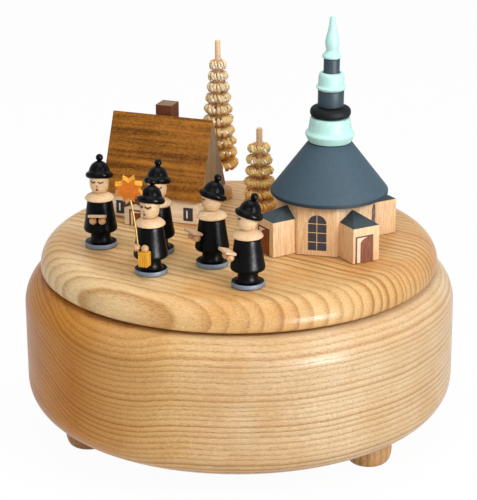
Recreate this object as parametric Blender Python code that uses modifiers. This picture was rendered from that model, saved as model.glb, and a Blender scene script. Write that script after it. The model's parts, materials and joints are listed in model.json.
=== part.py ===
"""Wooden music box: a village and its carol singers on a turning lid, over a turned bowl.

Units are metres and +Z is up. The origin is on the lid's turning axis, at the surface that
the feet stand on. -Y is the front. A spring movement in the bowl turns the lid, a pinned
cylinder plucks the comb, and a key under the floor winds the spring.
"""
import math

import bmesh
import bpy
from mathutils import Matrix, Vector

MM = 0.001
GAP = 0.3 * MM                  # clearance between neighbouring pieces

# Bowl and lid
BOWL_RADIUS = 95.0 * MM
BOWL_BOTTOM = 11.4 * MM
BOWL_RIM = 74.1 * MM
BOWL_FOOT_ROUND = 15.5 * MM
BOWL_SHOULDER_ROUND = 16.0 * MM
BOWL_SHOULDER_TOP = 76.8 * MM   # where the shoulder's arc would end without the flat rim
CAVITY_RADIUS = 76.0 * MM
FLOOR_THICKNESS = 12.3 * MM
KEY_RECESS_RADIUS = 24.0 * MM
KEY_RECESS_DEPTH = 7.3 * MM
LID_RADIUS = 87.6 * MM
LID_THICKNESS = 14.1 * MM
LID_RUNNING_GAP = 0.6 * MM
LID_TOP_ROUND = 10.6 * MM
LID_LOWER_ROUND = 1.2 * MM
LID_SOCKET_DEPTH = 7.0 * MM
LID_BOTTOM = BOWL_RIM + LID_RUNNING_GAP
LID_TOP = LID_BOTTOM + LID_THICKNESS
STAND = LID_TOP + GAP           # underside of whatever stands on the lid
FLOOR_TOP = BOWL_BOTTOM + FLOOR_THICKNESS
RECESS_TOP = BOWL_BOTTOM + KEY_RECESS_DEPTH

# Feet
FOOT_INSET = 23.1 * MM          # from the bowl's side to a foot's axis
FOOT_CIRCLE = BOWL_RADIUS - FOOT_INSET
FOOT_RADIUS = 10.1 * MM
FOOT_SOLE_RADIUS = 7.6 * MM
FOOT_NECK_RADIUS = 9.8 * MM
FOOT_BELLY_HEIGHT = 4.8 * MM    # its widest part, from here up
FOOT_BELLY_LENGTH = 3.0 * MM
FOOT_PEG_RADIUS = 4.0 * MM
FOOT_PEG_LENGTH = 7.0 * MM
FOOT_ANGLES = {"foot_left": 200.9, "foot_right": 320.9, "foot_back": 80.9}

# House
HOUSE_PLACE = (-33.8 * MM, 32.7 * MM)
HOUSE_TURN = -21.0
ROOF_LENGTH = 48.4 * MM
ROOF_HALF_SPAN = 15.1 * MM
ROOF_RISE = 34.3 * MM
WALL_LENGTH = 42.0 * MM
WALL_HALF_WIDTH = 12.6 * MM
WALL_HEIGHT = 11.0 * MM
ENTRY_MIDDLE = -4.0 * MM        # the small porch's place along the front wall
ENTRY_HALF_WIDTH = 6.0 * MM
ENTRY_REACH = 9.8 * MM          # in front of the wall
ENTRY_EAVES = 8.0 * MM
ENTRY_RISE = 2.6 * MM
ENTRY_ROOT = 0.6 * MM           # how far it runs into the wall
CHIMNEY_LENGTH = 7.8 * MM
CHIMNEY_WIDTH = 8.6 * MM
CHIMNEY_RISE = 4.5 * MM         # above the ridge
CHIMNEY_ALONG = 0.4 * MM        # from the middle of the ridge
CHIMNEY_BEHIND = 0.2 * MM       # its front face, behind the ridge

# Church
CHURCH_PLACE = (38.4 * MM, -9.8 * MM)
CHURCH_TURN = -104.5
CHURCH_ROOF_SHIFT = 0.9 * MM    # the roof sits a little off the walls' centre
TOWER_LEAN = 0.9                # and the tower leans a little to the right
NAVE_SIDES = 8
NAVE_APOTHEM = 20.5 * MM
NAVE_HEIGHT = 23.2 * MM
PORCH_WIDTH = 12.9 * MM
PORCH_REACH = 32.0 * MM         # from the church's axis to the porch's front
PORCH_WALL = 15.5 * MM
PORCH_RISE = 4.6 * MM
CONE_RADIUS = 25.5 * MM
CONE_EDGE = 1.2 * MM
CONE_TOP_RADIUS = 9.4 * MM
CONE_HEIGHT = 21.6 * MM
DOME_HEIGHT = 10.7 * MM
DOME_RADIUS = 9.2 * MM
DOME_LIP_RADIUS = 10.7 * MM
DOME_LIP_LOW = 1.4 * MM
DOME_LIP_HIGH = 2.6 * MM
DOME_BODY_LOW = 5.2 * MM
DOME_FLARE = 0.2 * MM
GALLERY_HEIGHT = 4.3 * MM
GALLERY_RADIUS = 8.8 * MM
DRUM_RADIUS = 5.6 * MM
DRUM_HEIGHT = 6.7 * MM
BELL_HEIGHT = 7.6 * MM
BELL_LIP_RADIUS = 6.4 * MM
BELL_TOP_RADIUS = 5.4 * MM
BELL_LIP_LOW = 0.7 * MM
BELL_LIP_HIGH = 1.6 * MM
BELL_BODY_LOW = 4.8 * MM
BELL_FLARE = 0.3 * MM
TOWER_EDGE = 0.7 * MM           # rounding of the tower's upper edges
LANTERN_DRUM_RADIUS = 3.46 * MM
LANTERN_DRUM_HEIGHT = 5.9 * MM
SPIRE_HEIGHT = 18.0 * MM
SPIRE_LIP_RADIUS = 4.2 * MM
SPIRE_NECK_RADIUS = 2.3 * MM
SPIRE_BULB_RADIUS = 2.9 * MM
SPIRE_TIP_RADIUS = 1.3 * MM
SPIRE_EDGE = 0.4 * MM
SPIGOT_RADIUS = 2.5 * MM
SPIGOT_LENGTH = 10.0 * MM
SPIRE_SPIGOT_RADIUS = 1.2 * MM
SPIRE_SPIGOT_LENGTH = 4.0 * MM

# Shaved trees: place, top of the tip, top whorl, whorls, spacing, top and bottom radii
TREE_BASE_RADIUS = 6.2 * MM
TREE_BASE_HEIGHT = 4.0 * MM
TREE_SOCKET_DEPTH = 2.8 * MM
TREE_BASE_EDGE = 0.4 * MM
CURL_ROOT = 0.3 * MM            # what the curls' roots add to the stem
TREES = {
    "tree_tall": {"place": (-9.1 * MM, 53.5 * MM), "tip": 74.3 * MM, "first": 64.5 * MM, "whorls": 10,
                  "spacing": 5.2 * MM, "narrow": 4.4 * MM, "wide": 9.2 * MM, "stem": 1.4 * MM},
    "tree_short": {"place": (9.5 * MM, 31.0 * MM), "tip": 40.4 * MM, "first": 33.5 * MM, "whorls": 6,
                   "spacing": 4.7 * MM, "narrow": 5.2 * MM, "wide": 7.6 * MM, "stem": 1.6 * MM},
}

# Carol singers: place and the way each one faces, in degrees from +X
FIGURES = {
    "singer_left": (-60.0 * MM, -13.6 * MM, -94.0),
    "star_bearer": (-36.9 * MM, -48.4 * MM, -115.0),
    "singer_back": (-34.8 * MM, -21.8 * MM, -100.0),
    "singer_middle": (-11.3 * MM, -39.3 * MM, -147.0),
    "singer_right": (3.6 * MM, -64.9 * MM, -154.0),
}
PLINTH_RADIUS = 6.9 * MM
PLINTH_HEIGHT = 1.4 * MM
WAIST_RADIUS = 4.3 * MM
WAIST_HEIGHT = 4.6 * MM
HEM_RADIUS = 7.35 * MM
HEM_HEIGHT = 8.2 * MM
SHOULDER_RADIUS = 5.7 * MM
CLOAK_TOP = 19.2 * MM
COLLAR_RADIUS = 6.75 * MM
COLLAR_HEIGHT = 4.4 * MM
HEAD_RADIUS = 4.15 * MM
HEAD_CENTRE = 27.9 * MM         # above the lid
HAT_TILT = 15.0                 # the singers look up, so each hat leans back
BRIM_RADIUS = 6.15 * MM
BRIM_LOW = 2.5 * MM             # from the head's centre
BRIM_HIGH = 5.5 * MM
CROWN_RADIUS = 4.7 * MM
CROWN_TOP = 10.2 * MM
POMPOM_RADIUS = 1.58 * MM
POMPOM_CENTRE = 11.5 * MM
HAND_RADIUS = 1.65 * MM
HAND_HEIGHT = 13.0 * MM
HAND_SPREAD = 1.95 * MM
HAND_TUCK = 0.45 * MM           # how far in from the hem's radius the cloak is behind the hands
FIGURE_EDGE = 0.6 * MM          # rounding of the figures' turned edges
BOOK_SINK = 0.3 * MM            # how deep the book is let into the hands
BOOK_WIDTH = 7.6 * MM
BOOK_DEPTH = 4.8 * MM
BOOK_THICKNESS = 1.1 * MM
LANTERN_WIDTH = 3.9 * MM
LANTERN_HEIGHT = 6.0 * MM
LANTERN_FORWARD = 0.6 * MM      # from the hand's centre
LANTERN_GRIP = 0.4 * MM         # how far its top reaches into the hand
STAR_POINTS = 8
STAR_RADIUS = 6.0 * MM
STAR_ROOT_RADIUS = 3.7 * MM
STAR_THICKNESS = 2.6 * MM
STAR_PLACE = Vector((-3.9 * MM, -10.7 * MM, 39.6 * MM))     # from the bearer's own axis
POLE_RADIUS = 0.45 * MM

# Movement: bedplate and bearings
PLATE_THICKNESS = 3.0 * MM
PLATE_WEST = -19.0 * MM
PLATE_EAST = 62.0 * MM
PLATE_SOUTH = -31.0 * MM
PLATE_NORTH = 28.0 * MM
PLATE_BASE = FLOOR_TOP + GAP
PLATE_TOP = PLATE_BASE + PLATE_THICKNESS
POST_WIDTH = 7.0 * MM
POST_THICKNESS = 1.8 * MM
MOUNT_SCREW_PLACES = {"mounting_screw_left": (-13.5 * MM, 22.0 * MM),
                      "mounting_screw_right": (56.0 * MM, -25.0 * MM)}
MOUNT_SCREW_RADIUS = 1.5 * MM
MOUNT_SCREW_HEAD = 3.0 * MM
MOUNT_SCREW_LENGTH = 11.0 * MM
SCREW_HEAD_HEIGHT = 1.8 * MM
SCREW_SLOT_WIDTH = 0.6 * MM
SCREW_SLOT_DEPTH = 0.7 * MM
SCREW_CHAMFER = 0.3 * MM
POST_ABOVE_ARBOR = 2.2 * MM
ROOT = 1.0 * MM                 # how deep a joined piece runs into its neighbour

# Movement: winding arbor, ratchet, click and key
ARBOR_RADIUS = 2.0 * MM
RATCHET_TEETH = 12
RATCHET_RADIUS = 6.0 * MM
RATCHET_TOOTH = 1.1 * MM
RATCHET_THICKNESS = 1.8 * MM
CLICK_PIVOT = (8.3 * MM, -10.6 * MM)
CLICK_EYE_RADIUS = 2.2 * MM
CLICK_PIN_RADIUS = 1.1 * MM
CLICK_TIP_GAP = 0.25 * MM       # the click is held lifted, just clear of the ratchet
CLICK_NOSE_ANGLE = -7.0         # where its nose meets the ratchet
CLICK_NOSE_WIDTH = 0.6 * MM
KEY_LOW = 3.0 * MM
KEY_WING_SPAN = 26.0 * MM
KEY_WING_HEIGHT = 9.5 * MM
KEY_WING_THICKNESS = 2.0 * MM
KEY_EYE_RADIUS = 2.2 * MM
KEY_EYE_OFFSET = 7.5 * MM       # from the key's axis
KEY_HUB_RADIUS = 4.0 * MM
KEY_HUB_BASE = 6.0 * MM
KEY_HUB_CHAMFER = 0.8 * MM
KEY_BORE_DEPTH = 7.0 * MM

# Movement: barrel, mainspring and spindle
BARREL_RADIUS = 14.2 * MM
BARREL_WALL = 1.1 * MM
BARREL_HEIGHT = 12.0 * MM
BARREL_ROOF = 1.6 * MM
BARREL_BOSS_RADIUS = 3.2 * MM
BARREL_BOSS_HEIGHT = 2.6 * MM
CROWN_TEETH = 32
MODULE = 0.8 * MM
CROWN_TOOTH_HEIGHT = 1.15 * MM
CROWN_GAP_WIDTH = 1.65 * MM
CROWN_ROOT_STEP = 0.05 * MM     # of the gaps' floor above the barrel's top
CROWN_RING_INNER = 11.6 * MM
CUTTER_RUNOUT = 0.8 * MM        # how far the cutters run past what they cut
SPRING_TURNS = 6
SPRING_STRIP = 0.45 * MM
SPRING_WIDTH = 8.6 * MM
SPRING_LIFT = 0.8 * MM          # above the barrel's open end
SPINDLE_RADIUS = 2.5 * MM
SPINDLE_FOOT_RADIUS = 4.6 * MM
SPINDLE_FOOT_ROOF = 2.4 * MM
SPINDLE_FOOT_CONE = 1.0 * MM
FLANGE_NECK_WIDTH = 1.5 * MM
FLANGE_NECK_HEIGHT = 3.0 * MM
FLANGE_RADIUS = 13.0 * MM
FLANGE_THICKNESS = 2.2 * MM

# Movement: pinned cylinder and comb
PINION_TEETH = 8
PINION_TOOTH = (0.45 * MM, 0.75 * MM)               # above and below the pitch circle
CYLINDER_RADIUS = 6.5 * MM
CYLINDER_START = 20.5 * MM
CYLINDER_LENGTH = 26.0 * MM
CYLINDER_ARBOR = 1.1 * MM
CYLINDER_INNER_END = 0.8 * MM   # of the arbor, beyond the pinion
CYLINDER_OUTER_END = 1.5 * MM   # and beyond the outer post
NOTES = 18
PINS_PER_NOTE = 2
PIN_RADIUS = 0.22 * MM
PIN_HEIGHT = 0.75 * MM
WHEEL_TEETH = 24
WHEEL_TOOTH = (0.35 * MM, 0.55 * MM)
WHEEL_STANDOFF = 0.8 * MM       # from the cylinder's end
OUTER_POST_STANDOFF = 1.2 * MM
TRAIN_MODULE = 0.6 * MM
WHEEL_THICKNESS = 1.5 * MM
COMB_THICKNESS = 1.2 * MM
COMB_TOOTH_LENGTH = 13.5 * MM
COMB_ROOT_LENGTH = 8.5 * MM
COMB_SLOT = 0.42 * MM
COMB_TIP_GAP = 0.35 * MM        # from the pins' tips
COMB_SCREW_RADIUS = 1.25 * MM
COMB_SCREW_HEAD = 2.3 * MM
COMB_SCREW_LENGTH = 7.0 * MM
COMB_SCREW_INSET = 5.0 * MM
COMB_OVERHANG = 0.5 * MM        # of the comb's root past its block

# Movement: air-brake governor
GOVERNOR_PINION_TEETH = 8
GOVERNOR_PINION_TOOTH = (0.35 * MM, 0.6 * MM)
GOVERNOR_ARBOR_END = 0.5 * MM   # beyond the outer cheek
WORM_WHEEL_TEETH = 16
WORM_WHEEL_TOOTH = (0.25 * MM, 0.4 * MM)
WORM_WHEEL_THICKNESS = 1.2 * MM
WORM_FROM_WHEEL = 7.0 * MM      # along the cylinder's axis
WORM_STARTS = 2
WORM_RADIUS = 1.5 * MM
WORM_LENGTH = 8.0 * MM
WORM_WAVE = 0.32 * MM
TRAIN_ARBOR = 0.7 * MM
MESH_CLEARANCE = 0.12 * MM      # added to each centre distance, so that teeth never bind
FAN_RADIUS = 6.0 * MM
FAN_HEIGHT = 5.5 * MM
FAN_THICKNESS = 0.5 * MM
FAN_ABOVE_WORM = 1.5 * MM
FAN_SIDE_ROOM = 1.2 * MM        # between the fan and the bracket's back
FAN_HEAD_ROOM = 1.6 * MM
WORM_FOOT_ROOM = 3.2 * MM       # below the worm
FRAME_BACK_THICKNESS = 2.0 * MM
FRAME_WIDTH = 10.0 * MM
FRAME_ARM_THICKNESS = 1.6 * MM
FRAME_ARM_WIDTH = 5.0 * MM
FRAME_ARM_REACH = 2.5 * MM      # past the worm's axis
CHEEK_THICKNESS = 1.4 * MM
CHEEK_HEIGHT = 4.4 * MM
CHEEK_REACH = 2.2 * MM          # past the wheel's axis
PIVOT_DEPTH = 0.8 * MM
PIVOT_CLEARANCE = 0.15 * MM

ROUND = 44                      # steps round the bowl and the lid
MEDIUM = 20                     # steps round the church's turned pieces
FINE = 12                       # steps round the figures and small turned pieces

# Worked-out places of the movement
BARREL_BASE = PLATE_TOP + GAP + RATCHET_THICKNESS + 2 * GAP
BARREL_TOP = BARREL_BASE + BARREL_HEIGHT
CROWN_PITCH_PLANE = BARREL_TOP + CROWN_TOOTH_HEIGHT / 2
PINION_RADIUS = MODULE * PINION_TEETH / 2
CROWN_PITCH_RADIUS = MODULE * CROWN_TEETH / 2
CYLINDER_AXIS = CROWN_PITCH_PLANE + PINION_RADIUS + MESH_CLEARANCE
CYLINDER_END = CYLINDER_START + CYLINDER_LENGTH
WHEEL_RADIUS = TRAIN_MODULE * WHEEL_TEETH / 2
WHEEL_START = CYLINDER_END + WHEEL_STANDOFF
INNER_POST = 0.5 * (BARREL_RADIUS + CYLINDER_START) - 0.5 * POST_THICKNESS
OUTER_POST = WHEEL_START + WHEEL_THICKNESS + OUTER_POST_STANDOFF
GOVERNOR_PINION_RADIUS = TRAIN_MODULE * GOVERNOR_PINION_TEETH / 2
TRAIN_Y = WHEEL_RADIUS + GOVERNOR_PINION_RADIUS + MESH_CLEARANCE
WORM_WHEEL_RADIUS = TRAIN_MODULE * WORM_WHEEL_TEETH / 2
WORM_X = WHEEL_START + WORM_FROM_WHEEL
WORM_Y = TRAIN_Y + WORM_WHEEL_RADIUS + WORM_RADIUS + MESH_CLEARANCE
COMB_TIP_Y = -(CYLINDER_RADIUS + PIN_HEIGHT + COMB_TIP_GAP)
COMB_ROOT_Y = COMB_TIP_Y - COMB_TOOTH_LENGTH
COMB_BACK_Y = COMB_ROOT_Y - COMB_ROOT_LENGTH
COMB_BASE = CYLINDER_AXIS - COMB_THICKNESS / 2
FAN_BASE = CYLINDER_AXIS + WORM_LENGTH / 2 + FAN_ABOVE_WORM
FRAME_TOP = FAN_BASE + FAN_HEIGHT + FAN_HEAD_ROOM
FRAME_LOW_ARM = CYLINDER_AXIS - WORM_LENGTH / 2 - WORM_FOOT_ROOM
FRAME_BACK_Y = WORM_Y + FAN_RADIUS + FAN_SIDE_ROOM


for leftover in list(bpy.data.objects):
    bpy.data.objects.remove(leftover, do_unlink=True)
for leftover in list(bpy.data.collections):
    bpy.data.collections.remove(leftover)

PARTS = bpy.data.collections.new("music_box")
CUTTERS = bpy.data.collections.new("cutters")
bpy.context.scene.collection.children.link(PARTS)
bpy.context.scene.collection.children.link(CUTTERS)


def finish(name, colour, roughness, metallic=0.0):
    """One Principled BSDF finish with a plain colour."""
    material = bpy.data.materials.new(name)
    material.use_nodes = True
    shader = material.node_tree.nodes["Principled BSDF"]
    shader.inputs["Base Color"].default_value = (*colour, 1.0)
    shader.inputs["Roughness"].default_value = roughness
    shader.inputs["Metallic"].default_value = metallic
    material.diffuse_color = (*colour, 1.0)
    return material


ASH = finish("ash", (0.76, 0.55, 0.32), 0.35)
PALE_WOOD = finish("pale_wood", (0.86, 0.70, 0.50), 0.45)
WALL_WOOD = finish("wall_wood", (0.80, 0.62, 0.45), 0.55)
ROOF_STAIN = finish("roof_stain", (0.42, 0.21, 0.05), 0.6)
BRICK_STAIN = finish("brick_stain", (0.13, 0.045, 0.025), 0.6)
SLATE_PAINT = finish("slate_paint", (0.070, 0.110, 0.150), 0.5)
MINT_PAINT = finish("mint_paint", (0.40, 0.84, 0.70), 0.45)
BLACK_PAINT = finish("black_paint", (0.008, 0.008, 0.010), 0.3)
STAR_PAINT = finish("star_paint", (0.85, 0.32, 0.02), 0.45)
SHAVINGS = finish("shavings", (0.76, 0.52, 0.26), 0.6)
BRASS = finish("brass", (0.72, 0.53, 0.24), 0.3, 1.0)
STEEL = finish("steel", (0.55, 0.56, 0.58), 0.3, 1.0)
ZINC = finish("zinc", (0.48, 0.48, 0.50), 0.45, 1.0)


def lay(name, mesh, material, collection=PARTS, at=(0, 0, 0), turn_by=(0, 0, 0), parent=None):
    """Make an object of a mesh or curve, and place it."""
    thing = bpy.data.objects.new(name, mesh)
    collection.objects.link(thing)
    if material:
        mesh.materials.append(material)
    thing.parent = parent
    thing.location = at
    thing.rotation_euler = [math.radians(angle) for angle in turn_by]
    if collection is CUTTERS:
        thing.hide_render = True
        thing.display_type = "WIRE"
    return thing


def stand_at(name, at, turn_z, parent=None):
    """An empty that carries a group of pieces."""
    carrier = bpy.data.objects.new(name, None)
    PARTS.objects.link(carrier)
    carrier.parent = parent
    carrier.location = at
    carrier.rotation_euler = (0, 0, math.radians(turn_z))
    return carrier


def arc(centre_r, centre_z, radius, start, end, count):
    """Points of a round in a turned profile, angles in degrees from the outward direction."""
    points = []
    for index in range(count + 1):
        angle = math.radians(start + (end - start) * index / count)
        points.append((centre_r + radius * math.cos(angle), centre_z + radius * math.sin(angle)))
    return points


def turned(name, profile, material, steps=FINE, ring=False, **where):
    """Spin a profile of (radius, height) points about Z. It runs down the outer side."""
    mesh = bpy.data.meshes.new(name)
    count = len(profile)
    edges = [(index, index + 1) for index in range(count - 1)]
    if ring:
        edges.append((count - 1, 0))
    mesh.from_pydata([(radius, 0, height) for radius, height in profile], edges, [])
    thing = lay(name, mesh, material, **where)
    screw = thing.modifiers.new("spin", "SCREW")
    screw.steps = steps
    screw.render_steps = steps
    screw.use_merge_vertices = True
    screw.merge_threshold = 0.00001
    return thing


def block(name, size, material, **where):
    """A box centred on its own origin."""
    mesh = bpy.data.meshes.new(name)
    model = bmesh.new()
    bmesh.ops.create_cube(model, size=1.0)
    bmesh.ops.scale(model, vec=size, verts=model.verts)
    model.to_mesh(mesh)
    model.free()
    return lay(name, mesh, material, **where)


def rod(name, radius, length, material, steps=FINE, **where):
    """A plain cylinder along its own Z, centred on its origin."""
    mesh = bpy.data.meshes.new(name)
    model = bmesh.new()
    bmesh.ops.create_cone(model, cap_ends=True, segments=steps, radius1=radius, radius2=radius,
                          depth=length)
    model.to_mesh(mesh)
    model.free()
    return lay(name, mesh, material, **where)


def ball(name, radius, material, steps=8, **where):
    mesh = bpy.data.meshes.new(name)
    model = bmesh.new()
    bmesh.ops.create_uvsphere(model, u_segments=steps, v_segments=steps // 2 + 1, radius=radius)
    model.to_mesh(mesh)
    model.free()
    return lay(name, mesh, material, **where)


def sheet(name, outlines, thickness, material, **where):
    """A flat piece from closed outlines, the later ones holes, centred on its own XY plane."""
    curve = bpy.data.curves.new(name, "CURVE")
    curve.dimensions = "2D"
    curve.fill_mode = "BOTH"
    curve.extrude = thickness / 2
    for outline in outlines:
        spline = curve.splines.new("POLY")
        spline.points.add(len(outline) - 1)
        for point, (x, y) in zip(spline.points, outline):
            point.co = (x, y, 0, 1)
        spline.use_cyclic_u = True
    drawn = lay(name + "_outline", curve, None)
    mesh = bpy.data.meshes.new_from_object(drawn.evaluated_get(bpy.context.evaluated_depsgraph_get()))
    bpy.data.objects.remove(drawn)
    model = bmesh.new()
    model.from_mesh(mesh)
    bmesh.ops.remove_doubles(model, verts=model.verts, dist=0.000001)
    bmesh.ops.recalc_face_normals(model, faces=model.faces)
    model.to_mesh(mesh)
    model.free()
    mesh.name = name
    mesh.materials.clear()
    return lay(name, mesh, material, **where)


def circle(radius, steps=12, centre=(0, 0)):
    points = []
    for index in range(steps):
        angle = 2 * math.pi * index / steps
        points.append((centre[0] + radius * math.cos(angle), centre[1] + radius * math.sin(angle)))
    return points


def gear_outline(teeth, pitch_radius, addendum, dedendum, share=0.36, phase=0.0):
    """Teeth narrow enough to run with backlash. The first tooth points along `phase` degrees."""
    points = []
    pitch = 2 * math.pi / teeth
    for index in range(teeth):
        centre = math.radians(phase) + index * pitch
        half = share * pitch / 2
        root = pitch_radius - dedendum
        crest = pitch_radius + addendum
        for radius, offset in ((root, -1.25 * half), (crest, -0.6 * half), (crest, 0.6 * half),
                               (root, 1.25 * half)):
            points.append((radius * math.cos(centre + offset), radius * math.sin(centre + offset)))
    return points


def combine(target, tool, operation):
    """Boolean modifier with an object that moves to the cutters."""
    if tool.name in PARTS.objects:
        PARTS.objects.unlink(tool)
        CUTTERS.objects.link(tool)
    tool.hide_render = True
    tool.display_type = "WIRE"
    step = target.modifiers.new(tool.name, "BOOLEAN")
    step.operation = operation
    step.object = tool
    step.solver = "EXACT"


def join(target, *tools):
    for tool in tools:
        combine(target, tool, "UNION")


def cut(target, *tools):
    for tool in tools:
        combine(target, tool, "DIFFERENCE")


def make_bowl():
    """Bowl with a flat rim under the lid, a key recess below, and sockets for the feet."""
    shoulder_r = BOWL_RADIUS - BOWL_SHOULDER_ROUND
    shoulder_z = BOWL_SHOULDER_TOP - BOWL_SHOULDER_ROUND
    rim_angle = math.degrees(math.asin((BOWL_RIM - shoulder_z) / BOWL_SHOULDER_ROUND))
    arbor_hole = ARBOR_RADIUS + 2 * GAP
    profile = [(CAVITY_RADIUS, BOWL_RIM)]
    profile += arc(shoulder_r, shoulder_z, BOWL_SHOULDER_ROUND, rim_angle, 0, 5)
    profile += arc(BOWL_RADIUS - BOWL_FOOT_ROUND, BOWL_BOTTOM + BOWL_FOOT_ROUND, BOWL_FOOT_ROUND, 0, -90, 6)
    profile += [(KEY_RECESS_RADIUS, BOWL_BOTTOM), (KEY_RECESS_RADIUS, RECESS_TOP),
                (arbor_hole, RECESS_TOP), (arbor_hole, FLOOR_TOP), (CAVITY_RADIUS, FLOOR_TOP)]
    bowl = turned("base_bowl", profile, ASH, steps=ROUND, ring=True)
    for name, angle in FOOT_ANGLES.items():
        place = Vector((FOOT_CIRCLE, 0, 0))
        place.rotate(Matrix.Rotation(math.radians(angle), 3, "Z"))
        socket_length = FOOT_PEG_LENGTH + 2 * GAP
        cut(bowl, rod(name + "_socket", FOOT_PEG_RADIUS + GAP, 2 * socket_length, None, collection=CUTTERS,
                      at=(place.x, place.y, BOWL_BOTTOM)))
        make_foot(name, place)
    for name, (x, y) in MOUNT_SCREW_PLACES.items():
        depth = MOUNT_SCREW_LENGTH - PLATE_THICKNESS
        cut(bowl, rod(name + "_bore", MOUNT_SCREW_RADIUS + GAP, 2 * depth, None, collection=CUTTERS,
                      steps=10, at=(x, y, FLOOR_TOP)))


def make_foot(name, place):
    """Turned bun foot with a peg into the bowl."""
    top = BOWL_BOTTOM - GAP
    belly = FOOT_BELLY_HEIGHT
    tuck = FOOT_RADIUS - FOOT_SOLE_RADIUS
    profile = [(0, top + FOOT_PEG_LENGTH), (FOOT_PEG_RADIUS, top + FOOT_PEG_LENGTH), (FOOT_PEG_RADIUS, top),
               (FOOT_NECK_RADIUS, top), (FOOT_RADIUS, belly + FOOT_BELLY_LENGTH), (FOOT_RADIUS, belly),
               (FOOT_RADIUS - 0.24 * tuck, 0.54 * belly), (FOOT_RADIUS - 0.64 * tuck, 0.125 * belly),
               (FOOT_SOLE_RADIUS, 0), (0, 0)]
    turned(name, profile, ASH, steps=16, at=(place.x, place.y, 0))


def make_lid():
    """Bullnosed disc that turns, with a socket for the spindle under its centre."""
    socket = SPINDLE_RADIUS + GAP
    edge = LID_RADIUS - LID_TOP_ROUND
    profile = [(0, LID_TOP)]
    profile += arc(edge, LID_TOP - LID_TOP_ROUND, LID_TOP_ROUND, 90, 0, 6)
    profile += arc(LID_RADIUS - LID_LOWER_ROUND, LID_BOTTOM + LID_LOWER_ROUND, LID_LOWER_ROUND, 0, -90, 2)
    profile += [(socket, LID_BOTTOM), (socket, LID_BOTTOM + LID_SOCKET_DEPTH),
                (0, LID_BOTTOM + LID_SOCKET_DEPTH)]
    turned("lid", profile, ASH, steps=ROUND)


def roof_prism(name, length, half_span, rise, material, **where):
    """Triangular prism along X with its eaves at height 0."""
    outline = [(-half_span, 0), (half_span, 0), (0, rise)]
    return sheet(name, [outline], length, material, turn_by=(90, 0, 90), **where)


def make_house():
    """Cottage: wall block with a small gabled porch, steep roof block, and a chimney on the back slope."""
    home = stand_at("house", (*HOUSE_PLACE, 0), HOUSE_TURN)
    walls = block("house_walls", (WALL_LENGTH, 2 * WALL_HALF_WIDTH, WALL_HEIGHT), WALL_WOOD, parent=home,
                  at=(0, 0, STAND + WALL_HEIGHT / 2))
    gable = [(-ENTRY_HALF_WIDTH, 0), (ENTRY_HALF_WIDTH, 0), (ENTRY_HALF_WIDTH, ENTRY_EAVES),
             (0, ENTRY_EAVES + ENTRY_RISE), (-ENTRY_HALF_WIDTH, ENTRY_EAVES)]
    outward = (ENTRY_REACH - ENTRY_ROOT) / 2
    join(walls, sheet("house_entry", [gable], ENTRY_REACH + ENTRY_ROOT, WALL_WOOD, collection=CUTTERS, parent=home,
                      at=(ENTRY_MIDDLE, -WALL_HALF_WIDTH - outward, STAND), turn_by=(90, 0, 0)))
    eaves = STAND + WALL_HEIGHT + GAP
    roof_prism("house_roof", ROOF_LENGTH, ROOF_HALF_SPAN, ROOF_RISE, ROOF_STAIN, parent=home,
               at=(0, 0, eaves))
    slope = ROOF_RISE / ROOF_HALF_SPAN
    back = CHIMNEY_BEHIND + CHIMNEY_WIDTH
    height = CHIMNEY_RISE + slope * back
    middle = eaves + ROOF_RISE + CHIMNEY_RISE - height / 2
    chimney = block("house_chimney", (CHIMNEY_LENGTH, CHIMNEY_WIDTH, height), BRICK_STAIN, parent=home,
                    at=(CHIMNEY_ALONG, back - CHIMNEY_WIDTH / 2, middle))
    lift = GAP * math.hypot(1, slope)
    cut(chimney, roof_prism("chimney_seat", ROOF_LENGTH, ROOF_HALF_SPAN + GAP, ROOF_RISE + lift, None,
                            collection=CUTTERS, parent=home, at=(0, 0, eaves)))


def make_porch(name, church, direction):
    """Side porch: a block whose lean-to roof rises to a point at the nave wall."""
    inner = NAVE_APOTHEM + GAP
    depth = PORCH_REACH - inner
    mesh = bpy.data.meshes.new(name)
    model = bmesh.new()
    bmesh.ops.create_cube(model, size=1.0)
    bmesh.ops.scale(model, vec=(depth, PORCH_WIDTH, PORCH_WALL), verts=model.verts)
    bmesh.ops.translate(model, vec=(inner + depth / 2, 0, PORCH_WALL / 2), verts=model.verts)
    top = max(model.faces, key=lambda face: face.calc_center_median().z)
    raised = bmesh.ops.extrude_face_region(model, geom=[top])
    corners = [item for item in raised["geom"] if isinstance(item, bmesh.types.BMVert)]
    bmesh.ops.delete(model, geom=[top], context="FACES_ONLY")
    bmesh.ops.pointmerge(model, verts=corners, merge_co=(inner, 0, PORCH_WALL + PORCH_RISE))
    bmesh.ops.recalc_face_normals(model, faces=model.faces)
    model.to_mesh(mesh)
    model.free()
    lay(name, mesh, WALL_WOOD, parent=church, at=(0, 0, STAND), turn_by=(0, 0, direction))


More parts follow.
